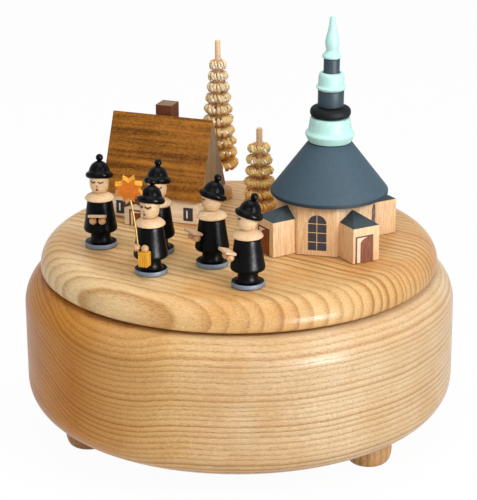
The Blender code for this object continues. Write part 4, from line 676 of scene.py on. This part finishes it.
def make_bowl_and_feet():
    profile = [(76.0, 74.1)]
    profile += arc(79.0, 60.8, 16.0, 56.2, 0, 16)
    profile += arc(79.5, 26.9, 15.5, 0, -90, 16)
    profile += [(24.6, 11.4)] + arc(24.6, 12.0, 0.6, 270, 180, 3) + [(24.0, 18.7), (2.6, 18.7), (2.6, 23.7)]
    profile += [(76.0, 23.7), (76.0, 74.1)]
    turned_piece("turned_bowl", profile, BOWL_ASH, 160, body="housing", instead_of=["base_bowl"], slot="ash")
    profile = [(0, 18.1), (4.0, 18.1), (4.0, 11.1), (9.6, 11.1), (10.1, 8.4), (10.15, 5.6), (9.7, 3.0),
               (8.8, 1.0), (7.6, 0), (0, 0)]
    for name in ("foot_left", "foot_right", "foot_back"):
        turned_piece("turned_" + name, rounded(profile, 1.6), FOOT_ASH, 48, standing(centre(name), 0),
                     body="housing", instead_of=[name], slot="ash")


def make_lid():
    profile = [(0, 88.8)] + arc(77.0, 78.2, 10.6, 90, 0, 16) + arc(86.0, 77.6, 1.6, 0, -90, 6)
    profile += [(79.0, 76.0), (78.2, 74.7), (2.8, 74.7), (2.8, 81.7), (0, 81.7)]
    turned_piece("turned_lid", profile, LID_ASH, 160, instead_of=["lid"], slot="ash")


def make_house():
    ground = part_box("house_walls")[0].z
    home = standing(centre("house_walls"), ground, HOUSE_TURN)
    wall_reach, entry_reach = 12.6, 22.4
    walls = solid(bmesh.new(), rectangle(-21, -wall_reach, 21, wall_reach), 11.0, home, bevel=0.25)
    half, eaves, rise, root = 6.0, 8.0, 2.6, 12.0
    gable = [(-half, 0), (half, 0), (half, eaves), (0, eaves + rise), (-half, eaves)]
    entry = on_wall(home @ shift(-4.0), -90, root)
    solid(walls, gable, entry_reach - root, entry, bevel=0.15)
    show("cottage_walls", walls, [HOUSE_PALE], instead_of=["house_walls"], slot="wall_wood", sharp=30)
    wide = half + 0.5
    verge = [(-wide, eaves - 0.25), (0, eaves + rise - 0.1), (wide, eaves - 0.25), (wide, eaves + 0.4),
             (0, eaves + rise + 0.55), (-wide, eaves + 0.4)]
    cover = solid(bmesh.new(), verge, entry_reach + 0.5 - root, entry, bevel=0.1)
    show("cottage_entry_roof", cover, [CHIMNEY], slot="chimney_stain", sharp=25)

    lift = (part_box("house_roof")[0].z - ground) / MM
    half_span, ridge = 15.1, 34.3
    span = [(-half_span, 0), (half_span, 0), (0, ridge)]
    roof = solid(bmesh.new(), span, 48.4, home @ shift(-24.2, 0, lift) @ UPRIGHT, bevel=0.35)
    mark_ends(roof, ALONG_HOUSE)
    show("cottage_roof", roof, [ROOF, GABLE], instead_of=["house_roof"], slot="roof_stain", sharp=30)

    top = (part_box("house_chimney")[1].z - ground) / MM
    slope = ridge / half_span
    seat = lift + ridge + 0.6
    front, back = 0.2, 8.8
    outline = [(front, seat - slope * front), (back, seat - slope * back), (back, top), (front, top)]
    chimney = solid(bmesh.new(), outline, 7.8, home @ shift(-3.5) @ UPRIGHT, bevel=0.3)
    mark_ends(chimney, UP)
    show("cottage_chimney", chimney, [CHIMNEY, CHIMNEY_TOP], instead_of=["house_chimney"],
         slot="chimney_stain", sharp=30)

    prints = bmesh.new()
    for side in (-90, 90):
        wall = on_wall(home, side, wall_reach)
        for middle in (-16.0, 16.8):
            solid(prints, rectangle(middle - 2.3, 1.3, middle + 2.3, 7.5), 0.05, wall, 0)
            solid(prints, rectangle(middle - 0.9, 2.6, middle - 0.2, 6.2), 0.08, wall, 1)
    door = on_wall(home, -90, entry_reach)
    solid(prints, rectangle(-7.6, 0.1, -2.0, 7.3), 0.05, door, 3)
    solid(prints, rectangle(-6.8, 0.1, -2.4, 6.5), 0.07, door, 4)
    solid(prints, rectangle(-5.8, 0.1, -2.4, 5.9), 0.09, door, 2)
    show("cottage_windows", prints, [GLASS_PRINT, WINDOW_LIGHT, DOOR, DOOR_LINE, DOOR_REVEAL],
         slot="wall_wood")


def window_panes():
    """Outlines of a church window's eight panes, as (right, up) millimetres on its wall."""
    left, middle, right = -3.85, 0.0, 4.2
    bar = 0.17
    rows = (2.2, 6.05, 10.3, 14.3)
    panes = []
    for low, high in zip(rows, rows[1:]):
        for start, end in ((left, middle - bar), (middle + bar, right)):
            panes.append(rectangle(start, low + bar, end, high - bar))
    half = (right - left) / 2
    axis = (right + left) / 2
    foot = rows[-1] + bar
    for sign, inner in ((-1, middle - bar), (1, middle + bar)):
        outline = [(inner, foot), (axis + sign * half, foot)]
        start = math.acos(max(-1.0, min(1.0, (inner - axis) / (sign * half))))
        for index in range(1, 9):
            angle = start * index / 8
            outline.append((axis + sign * half * math.cos(angle), foot + 3.7 * math.sin(angle)))
        if sign < 0:
            outline.reverse()
        panes.append(outline)
    return panes


def make_church():
    spot = centre("church_walls")
    church = standing(spot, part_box("church_walls")[0].z, CHURCH_TURN)
    wall_reach = 20.5
    corner = wall_reach / math.cos(math.pi / 8)
    outline = []
    for index in range(8):
        angle = math.radians(22.5 + 45 * index)
        outline.append((corner * math.cos(angle), corner * math.sin(angle)))
    walls = solid(bmesh.new(), outline, 23.2, church, bevel=0.2)
    show("nave_walls", walls, [BEECH], instead_of=["church_walls"], slot="wall_wood", sharp=25)

    windows = bmesh.new()
    for angle in (0, 90, 180, 270):
        for pane in window_panes():
            solid(windows, pane, 0.05, on_wall(church, angle, wall_reach), 0)
    show("nave_windows", windows, [GLASS_PRINT], slot="wall_wood")

    for name, angle in PORCHES.items():
        make_porch(name, church @ spin(angle))

    roof_spot = centre("church_roof")
    base, peak = (corner.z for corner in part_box("church_roof"))
    resting = standing(roof_spot, base)
    cone = turned(bmesh.new(), rounded([(0, 21.6), (9.4, 21.6), (25.35, 0.6)], 0.2), SLATE, 0, 96, resting)
    # The cone's lower rim takes the darker painted shade.
    edge = [(25.35, 0.6), (25.42, 0.45), (25.42, -0.8), (25.25, -0.95), (22.9, -0.95), (22.7, 0), (0, 0)]
    turned(cone, edge, ROOF_EDGE_SHADE, 1, 96, resting)
    bmesh.ops.remove_doubles(cone, verts=cone.verts, dist=TOUCHING)
    show("cone_roof", cone, [SLATE, ROOF_EDGE_SHADE], instead_of=["church_roof"], slot="slate_paint", sharp=35)
    make_tower(standing(roof_spot, peak) @ spin(TOWER_LEAN, "Y"))


def make_porch(name, church):
    """A porch with its pyramid roof and door. Its own X points out of the church."""
    inner, outer, half, eaves, apex = 20.8, 32.0, 6.45, 15.5, 20.1
    porch = solid(bmesh.new(), rectangle(inner, -half, outer, half), eaves, church, bevel=0.15)
    roof = bmesh.new()
    corners = [roof.verts.new(church @ Vector((x * MM, y * MM, eaves * MM)))
               for x, y in ((inner, -half), (outer, -half), (outer, half), (inner, half))]
    top = roof.verts.new(church @ Vector((inner * MM, 0, apex * MM)))
    roof.faces.new(corners)
    for index in range(4):
        roof.faces.new((corners[index], corners[(index + 1) % 4], top))
    soften(roof, list(roof.edges), 0.12)
    show(name + "_walls", porch, [BEECH], instead_of=[name], slot="wall_wood", sharp=25)
    show(name + "_roof", roof, [PORCH_SLATE], slot="slate_paint", sharp=20)

    wall = on_wall(church, 0, outer)
    leaf = [(3.3, 0.1), (3.3, 11.2), (0.6, 11.2), (-0.9, 10.7), (-2.2, 9.9), (-2.9, 8.8), (-2.9, 0.1)]
    door = solid(bmesh.new(), rectangle(-5.4, 0.1, 3.5, 11.9), 0.04, wall, 0)
    solid(door, rectangle(-4.5, 0.1, 3.3, 11.2), 0.06, wall, 1)
    solid(door, leaf, 0.09, wall, 2)
    show(name + "_door", door, [DOOR_LINE, DOOR_REVEAL, DOOR], slot="wall_wood")


def make_tower(tower):
    """The turned pieces above the cone, each with its foot's height in millimetres above its flat top."""
    dome = [(0, 5.0), (2.8, 5.0), (2.8, 10.7), (8.3, 10.7), (8.6, 10.3), (8.85, 9.0), (9.1, 7.0), (9.35, 5.6),
            (9.6, 4.8), (10.2, 4.1), (10.65, 3.6), (10.68, 3.1), (10.4, 2.5), (9.8, 1.2), (9.2, 0), (0, 0)]
    ring = [(2.8, 4.3), (5.6, 4.3), (6.9, 4.25), (7.9, 3.9), (8.6, 3.1), (8.8, 2.2), (8.8, 1.4), (8.5, 0.6),
            (7.9, 0.1), (7.4, 0), (2.8, 0), (2.8, 4.3)]
    core = [(0, 32.1), (1.5, 32.1), (1.5, 36.4), (3.46, 36.4), (3.46, 22.6), (5.6, 22.6), (5.6, 15.9),
            (2.5, 15.9), (2.5, 5.9), (0, 5.9)]
    bell = [(3.76, 7.6), (4.5, 7.6), (5.05, 7.3), (5.4, 6.5), (5.52, 5.4), (5.58, 3.6), (5.62, 2.5),
            (5.8, 2.0), (6.2, 1.65), (6.5, 1.35), (6.45, 1.0), (6.1, 0.6), (5.75, 0.2), (5.5, 0), (3.76, 0),
            (3.76, 7.6)]
    spire = [(0, 18.0), (0.7, 17.9), (1.15, 17.4), (1.32, 16.8), (1.42, 15.6), (1.56, 14.3), (1.98, 11.6),
             (2.5, 9.8), (2.83, 8.4), (3.02, 6.6), (2.95, 5.4), (2.7, 4.3), (2.45, 3.6), (2.5, 3.3),
             (3.3, 2.2), (3.9, 1.5), (4.19, 0.95), (4.1, 0.4), (3.7, 0), (1.2, 0), (1.2, -4.0), (0, -4.0)]
    stack = (("dome", dome, 0.3, 0.3, 3, MINT, 72, "tower_dome", "mint_paint", 35),
             ("gallery", ring, 11.3, 0.4, 3, GALLERY, 72, "gallery_ring", "black_paint", 60),
             ("drums", core, 0.0, 0.12, 2, DRUM_SLATE, 56, "tower_core", "slate_paint", 50),
             ("bell_roof", bell, 22.9, 0.25, 3, MINT, 64, "tower_bell", "mint_paint", 40),
             ("finial", spire, 36.7, 0.5, 3, MINT, 48, "spire", "mint_paint", 60))
    for name, profile, lift, radius, count, paint, steps, node, slot, sharp in stack:
        line = rounded([(out, up + lift) for out, up in profile], radius, count)
        turned_piece(name, line, paint, steps, tower, instead_of=[node], slot=slot, sharp=sharp)


def curl_strip(path, widths, thickness):
    """One shaving as a thin bowed strip, with its reach, its breadth and its tier's height all set to 1."""
    model = bmesh.new()
    rows = []
    for index, ((x, z), width) in enumerate(zip(path, widths)):
        before = Vector(path[max(0, index - 1)])
        after = Vector(path[min(len(path) - 1, index + 1)])
        ahead = (after - before).normalized()
        out = Vector((-ahead.y, 0, ahead.x)) * -1
        row = []
        for share in (-0.5, -0.2, 0.2, 0.5):
            bow = 0.06 * width * (1 - 4 * share * share) - 0.03
            row.append(Vector((x, share * width, z)) - out * bow)
        rows.append([model.verts.new(point) for point in row]
                    + [model.verts.new(point + out * thickness) for point in reversed(row)])
    bridge(model, rows)
    model.faces.new(rows[0])
    model.faces.new(list(reversed(rows[-1])))
    bmesh.ops.recalc_face_normals(model, faces=model.faces)
    return as_mesh("curl", model)


PETAL = {"path": [(0.10, -0.08), (0.34, 0.26), (0.60, 0.42), (0.84, 0.35), (0.98, 0.10), (0.98, -0.16),
                  (0.86, -0.36), (0.72, -0.36), (0.68, -0.22)],
         "widths": [0.5, 0.62, 0.76, 0.9, 1.0, 0.96, 0.8, 0.5, 0.2]}
CLAW = {"path": [(0.12, 0.06), (0.42, 0.32), (0.70, 0.38), (0.90, 0.25), (1.0, 0.0), (0.98, -0.22),
                 (0.88, -0.36), (0.78, -0.32), (0.76, -0.20)],
        "widths": [0.4, 0.6, 0.84, 1.0, 1.0, 0.85, 0.6, 0.34, 0.14]}
# Heights and the stem's radius are in millimetres. The colours are the top's, then painted shade low down and
# inside.
TREES = {
    "tree_tall": {"tip": 74.3, "stem": 1.3, "first": 63.0, "spacing": 5.15, "curl": PETAL, "base": TREE_BASE,
                  "colours": ((255, 241, 202), (255, 212, 122), (240, 160, 76)),
                  "sizes": {"Whorls": 10, "Curls": 17, "Narrow": 4.1 * MM, "Wide": 9.4 * MM, "Breadth": 0.7,
                            "Slant": math.radians(8.0)}},
    "tree_short": {"tip": 39.4, "stem": 1.45, "first": 30.1, "spacing": 5.2, "curl": CLAW, "base": PALE,
                   "colours": ((255, 228, 152), (255, 204, 104), (236, 138, 54)),
                   "sizes": {"Whorls": 6, "Curls": 26, "Narrow": 5.3 * MM, "Wide": 8.0 * MM, "Breadth": 0.72,
                             "Slant": math.radians(24.0)}},
}


def make_tree(name, tree, seed):
    spot = centre(name)
    place = standing(spot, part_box(name + "_base")[0].z)
    stem, tip, first, spacing = tree["stem"], tree["tip"], tree["first"], tree["spacing"]
    ground = place.translation.z / MM
    wood_of = shavings(name + "_shavings", spot, ground + first, spacing, *tree["colours"])
    base = [(0, 1.2), (stem + 0.3, 1.2), (stem + 0.3, 4.0), (5.9, 4.0), (6.2, 3.6), (6.2, 0), (0, 0)]
    turned_piece(name + "_foot", rounded(base, 0.3), tree["base"], 48, place, instead_of=[name + "_base"],
                 slot="pale_wood")
    stem_line = [(0, tip), (0.8 * stem, tip - 0.05), (0.97 * stem, tip - 0.5), (stem, tip - 9.0), (stem, 1.5),
                 (0, 1.5)]
    model = turned(bmesh.new(), stem_line, PALE, 1, 20)
    curl = curl_strip(tree["curl"]["path"], tree["curl"]["widths"], 0.035)
    sizes = dict(tree["sizes"], First=first * MM, Spacing=spacing * MM, Unevenness=0.7, Seed=seed,
                 Material=wood_of)
    add_mesh(model, grown(curl, WHORLS, sizes))
    show(name + "_curls", model, [wood_of, PALE], place, instead_of=[name], slot="shavings", sharp=60)


# The figures' heights are from the lid, and their own front is -Y.
HEAD_LINE = [(0, 32.6), (2.9, 32.4), (3.8, 31.9), (4.12, 31.0), (4.16, 29.4), (4.08, 27.8), (3.85, 26.5),
             (3.3, 25.3), (2.6, 24.65), (2.0, 24.45)]
COLLAR_LINE = [(2.0, 24.4), (3.6, 24.15), (5.35, 23.2), (6.1, 22.5), (6.45, 21.9), (6.38, 21.55),
               (6.0, 21.35), (0, 21.35)]
CLOAK_LINE = [(0, 21.2), (5.05, 21.2), (5.4, 20.9), (5.7, 19.0), (6.15, 15.6), (6.85, 11.0), (7.25, 9.0),
              (7.3, 8.4), (7.2, 7.8), (6.9, 7.4), (5.2, 6.9), (4.35, 6.6), (4.28, 6.2), (4.25, 4.8),
              (4.4, 3.6), (4.8, 2.8), (5.3, 2.35), (6.6, 2.3), (6.75, 2.25)]
PLINTH_FOOT = 0.3
PLINTH_RIM = [(6.75, 2.25), (6.95, 2.1), (7.0, 1.3), (6.95, 0.5), (6.75, PLINTH_FOOT), (0, PLINTH_FOOT)]
HAT_LINE = [(0, 13.1)] + arc(0, 11.5, 1.6, 80, -48, 10)
HAT_LINE += [(0.9, 10.2), (2.2, 9.6), (3.4, 8.6), (4.2, 7.2), (4.6, 5.8)]
HAT_LINE += arc(4.55, 4.0, 1.45, 78, -95, 10) + [(4.15, 2.7), (4.25, 3.6), (3.2, 4.4), (0, 4.7)]
HAT_BASE = 27.9
# A hat's tilt in degrees, and how far it sits forward and up in millimetres
HAT_LEVEL = (15.0, 0.0, 0.0)
HAT_DOWN = (19.0, 0.6, -0.8)
# Each figure's way to face in degrees, its hat, and its face's turn to its own right with the reach and
# width of its closed eyes
FIGURES = {
    "singer_left": (-94.0, HAT_LEVEL, (-0.6, 1.15, 0.7)),
    "star_bearer": (-115.0, HAT_LEVEL, (-0.65, 1.4, 0.95)),
    "singer_back": (-100.0, HAT_LEVEL, (0.0, 1.15, 0.7)),
    "singer_middle": (-147.0, HAT_DOWN, (-2.0, 1.15, 0.7)),
    "singer_right": (-154.0, HAT_DOWN, (-1.45, 1.15, 0.7)),
}
HAND_HIGH = 14.2
HAND_Y = -8.85
HAND_SPREAD = 1.95
HAND_SIZE = 1.65


def head_point(right, height, lift=0.05):
    """A point on the face, in the figure's frame: `right` of its middle and `height` above the lid."""
    radius = HEAD_LINE[-1][0]
    for (upper_r, upper_z), (lower_r, lower_z) in zip(HEAD_LINE, HEAD_LINE[1:]):
        if lower_z <= height <= upper_z:
            radius = lower_r + (upper_r - lower_r) * (height - lower_z) / (upper_z - lower_z)
    angle = right / radius
    radius += lift
    return Vector((radius * math.sin(angle), -radius * math.cos(angle), height)) * MM


def brush_line(model, points, width, material):
    """A painted line on the face, thicker in its middle."""
    rows = []
    for index, (right, up) in enumerate(points):
        before = points[max(0, index - 1)]
        after = points[min(len(points) - 1, index + 1)]
        ahead = Vector((after[0] - before[0], after[1] - before[1])).normalized()
        half = width * (0.4 + 0.6 * math.sin(math.pi * (index + 0.5) / len(points))) / 2
        rows.append((model.verts.new(head_point(right - ahead.y * half, up + ahead.x * half)),
                     model.verts.new(head_point(right + ahead.y * half, up - ahead.x * half))))
    bridge(model, rows, False, material)


def brush_dot(model, right, up, width, height, material, lift=0.06):
    rim = []
    for index in range(12):
        angle = 2 * math.pi * index / 12
        rim.append(model.verts.new(head_point(right + width * math.cos(angle) / 2,
                                              up + height * math.sin(angle) / 2, lift)))
    model.faces.new(rim).material_index = material


def make_face(name, place, turn, reach, width):
    """Closed eyes with lashes, a dot for the nose and a small singing mouth."""
    face = bmesh.new()
    lid_high, sag = 30.35, 0.75
    for side in (-1, 1):
        middle = turn + 1.8 * side
        arch = []
        for share in (-1.0, -0.67, -0.33, 0.0, 0.33, 0.67, 1.0):
            arch.append((middle + share * reach, lid_high - sag * (1 - share ** 2)))
        brush_line(face, arch, width, 0)
        for share in (-0.8, 0.0, 0.8):
            right, up = middle + share * reach, lid_high - sag * (1 - share ** 2)
            lash = [(right, up), (right + 0.12 * share, up - 0.22), (right + 0.28 * share, up - 0.45)]
            brush_line(face, lash, 0.62 * width, 0)
    brush_dot(face, turn, 28.05, 0.72, 0.62, 1)
    brush_dot(face, turn, 26.6, 1.1, 1.25, 2)
    brush_dot(face, turn + 0.12, 26.5, 0.5, 0.65, 3, 0.09)
    show(name + "_face", face, [LASHES, NOSE_DOT, LIPS, MOUTH_DARK], place, slot="pale_wood")


def make_ball(model, middle, radius):
    bmesh.ops.create_uvsphere(model, u_segments=24, v_segments=14, radius=radius * MM,
                              matrix=Matrix.Translation(Vector(middle) * MM))
    return model


def make_figure(name, facing, hat, face):
    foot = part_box(name + "_cloak")[0].z - PLINTH_FOOT * MM
    place = standing(centre(name + "_cloak"), foot, facing + 90)
    robe = turned(bmesh.new(), rounded(CLOAK_LINE, 0.5), BLACK, 0, 56, place)
    turned(robe, rounded(PLINTH_RIM, 0.12), RIM_GREY, 1, 56, place)
    bmesh.ops.remove_doubles(robe, verts=robe.verts, dist=TOUCHING)
    show(name + "_robe", robe, [BLACK, RIM_GREY], instead_of=[name + "_cloak"], slot="black_paint", sharp=50)
    turned_piece(name + "_wood", rounded(HEAD_LINE + COLLAR_LINE, 0.4), PALE, 48, place,
                 instead_of=[name + "_head"], slot="pale_wood", sharp=50)
    make_face(name, place, *face)
    tilt, forward, rise = hat
    tilted = place @ shift(0, -forward, HAT_BASE + rise) @ spin(-tilt, "X")
    turned_piece(name + "_cap", rounded(HAT_LINE, 0.3), HAT_BLACK, 48, tilted, instead_of=[name + "_hat"],
                 slot="black_paint", sharp=60)
    if name == "star_bearer":
        make_lantern_and_star(name, place)
    else:
        make_book(name, place)


def make_book(name, place):
    model = bmesh.new()
    for side in (-1, 1):
        make_ball(model, (side * HAND_SPREAD, HAND_Y, HAND_HIGH), HAND_SIZE)
    bmesh.ops.transform(model, matrix=place, verts=model.verts)
    board = place @ shift(0, -9.4, 15.85) @ spin(-16, "X")
    solid(model, rectangle(-3.8, -2.4, 3.8, 2.4), 1.1, board, 1, bevel=0.12)
    show(name + "_songbook", model, [HANDS, BOOK_PAPER], instead_of=[name + "_book"], slot="pale_wood",
         sharp=40)


def make_lantern_and_star(name, place):
    hand_high = HAND_HIGH - 0.6
    for part, side in (("_lantern_hand", 1), ("_pole_hand", -1)):
        hand = make_ball(bmesh.new(), (side * HAND_SPREAD, HAND_Y, hand_high), HAND_SIZE)
        show(name + part, hand, [HANDS], place, slot="pale_wood")
    outline = []
    half, tall, groove_half, groove_deep = 1.95, 6.0, 0.18, 0.22
    for side in range(4):
        corners = [(-half, -half)]
        for groove in (-0.95, 0.0, 0.95):
            for across, deep in ((-groove_half, 0), (0, groove_deep), (groove_half, 0)):
                corners.append((groove + across, deep - half))
        outline += [tuple(Matrix.Rotation(math.radians(90 * side), 2) @ Vector(corner)) for corner in corners]
    overlap = 0.4
    hung = place @ shift(HAND_SPREAD, HAND_Y - 0.6, hand_high - HAND_SIZE + overlap - tall)
    show(name + "_light", solid(bmesh.new(), outline, tall, hung), [AMBER], instead_of=[name + "_lantern"],
         slot="star_paint", sharp=25)

    outline = []
    for index in range(16):
        radius = 6.0 if index % 2 == 0 else 3.7
        angle = math.pi * (index + 5) / 8
        outline.append((radius * math.cos(angle), radius * math.sin(angle)))
    thick = 3.7
    facing = place @ shift(-3.9, -10.7, 39.6) @ spin(27) @ spin(14, "X") @ shift(0, -thick / 2) @ UPRIGHT_BACK
    star = solid(bmesh.new(), outline, thick, facing, 0, side_material=1)
    show(name + "_comet", star, [STAR_FRONT, STAR_EDGE], instead_of=[name + "_star"], slot="star_paint",
         sharp=20)

    pole = bmesh.new()
    start = Vector((-0.9, HAND_Y - 0.3, hand_high - 2.4))
    end = Vector((-3.7, -10.7, 37.0))
    rows = []
    for index in range(13):
        share = index / 12
        middle = start.lerp(end, share) + 0.5 * SIDE * math.sin(math.pi * share)
        rows.append([pole.verts.new((middle + direction(36 * step) * 0.42) * MM) for step in range(10)])
    bridge(pole, rows)
    pole.faces.new(rows[0])
    pole.faces.new(rows[-1])
    show(name + "_pole", pole, [POLE], place, slot="star_paint")


def dress_movement():
    """Give the hidden movement's own solids their metals."""
    metals = {"brass": BRASS, "steel": STEEL, "zinc": ZINC}
    for part in frame["record"]["subparts"]:
        if part["material_slot"] in metals:
            node = frame["nodes"][part["node"]]
            node.data.materials.clear()
            node.data.materials.append(metals[part["material_slot"]])


def seen_white(wiring):
    """1 for what the camera sees, straight or in a gloss, and 0 for light that falls on the object."""
    rays = wiring.node("ShaderNodeLightPath").outputs
    straight = wiring.math("MAXIMUM", rays["Is Camera Ray"], rays["Is Glossy Ray"])
    return wiring.math("MAXIMUM", straight, rays["Is Transmission Ray"])


def make_floor():
    """White ground that keeps a soft shadow, under a world that is white to the camera."""
    ground_finish = Finish("white_ground", specular=0.0)
    ground_finish.shader.inputs["Base Color"].default_value = (0.86, 0.86, 0.86, 1.0)
    ground_finish.shader.inputs["Roughness"].default_value = 0.9
    seen_share = 0.965
    seen = ground_finish.times(seen_white(ground_finish), seen_share)
    white = ground_finish.node("ShaderNodeEmission").outputs[0]
    feeds = {0: seen, 1: ground_finish.shader.outputs[0], 2: white}
    blend = ground_finish.node("ShaderNodeMixShader", feeds).outputs[0]
    ground_finish.feed(ground_finish.tree.nodes["Material Output"].inputs["Surface"], blend)
    model = bmesh.new()
    bmesh.ops.create_grid(model, x_segments=1, y_segments=1, size=6.0)
    mesh = as_mesh("ground", model)
    mesh.materials.append(ground_finish.material)
    ground = placed("ground", mesh)
    ground.location.z = -0.2 * MM


def add_softbox(name, azimuth, height, distance, wide, tall, power, tint=(1, 1, 1)):
    """An oblong lamp that faces the village, seen from it at an azimuth and a height in degrees."""
    data = bpy.data.lights.new(name, "AREA")
    data.shape = "RECTANGLE"
    data.size = wide
    data.size_y = tall
    data.energy = power
    data.color = tint
    lamp = placed(name, data)
    rise = math.radians(height)
    away = direction(azimuth) * math.cos(rise) + UP * math.sin(rise)
    lamp.location = Vector((0, 0, 0.08)) + away * distance
    lamp.rotation_euler = away.to_track_quat("Z", "Y").to_euler()
    return lamp


def light_scene():
    world = bpy.data.worlds.new("studio")
    bpy.context.scene.world = world
    world.use_nodes = True
    studio = Wiring(world.node_tree)
    surroundings = world.node_tree.nodes["Background"]
    surroundings.inputs["Color"].default_value = (1, 1, 1, 1)
    surroundings.inputs["Strength"].default_value = 0.29
    white = studio.node("ShaderNodeBackground", {"Strength": 1.0}).outputs[0]
    feeds = {0: seen_white(studio), 1: surroundings.outputs[0], 2: white}
    blend = studio.node("ShaderNodeMixShader", feeds).outputs[0]
    studio.feed(world.node_tree.nodes["World Output"].inputs["Surface"], blend)
    add_softbox("key", -46.0, 30.0, 0.9, 0.3, 0.3, 4.6, (1.0, 0.99, 0.98))
    glint = add_softbox("glint", -50.0, 3.0, 0.9, 0.32, 0.08, 21.0)
    glint.visible_diffuse = False
    add_softbox("front", -107.0, 36.0, 1.0, 0.6, 0.4, 2.4)
    add_softbox("overhead", 0.0, 88.0, 1.0, 0.7, 0.7, 5.3)


def add_camera():
    """The photograph's view, from its focal length and longer side in pixels, its tilt and its roll."""
    focal, longer_side, tilt, roll = 2078.1, 500.0, 20.602, 0.363
    data = bpy.data.cameras.new("camera")
    data.sensor_width = 36.0
    data.lens = focal * data.sensor_width / longer_side
    data.shift_x = -0.00142
    data.shift_y = 0.0835
    data.clip_start = 0.01
    camera = placed("camera", data)
    camera.matrix_world = shift(0, -868.1, 388.0) @ spin(90 - tilt, "X") @ spin(-roll)
    bpy.context.scene.camera = camera


add_camera()
light_scene()
make_floor()
make_bowl_and_feet()
make_lid()
make_house()
make_church()
for order, (tree_name, tree_sizes) in enumerate(TREES.items()):
    make_tree(tree_name, tree_sizes, 11 + order)
for figure_name, ways in FIGURES.items():
    make_figure(figure_name, *ways)
dress_movement()

bpy.context.scene.view_settings.view_transform = "Standard"
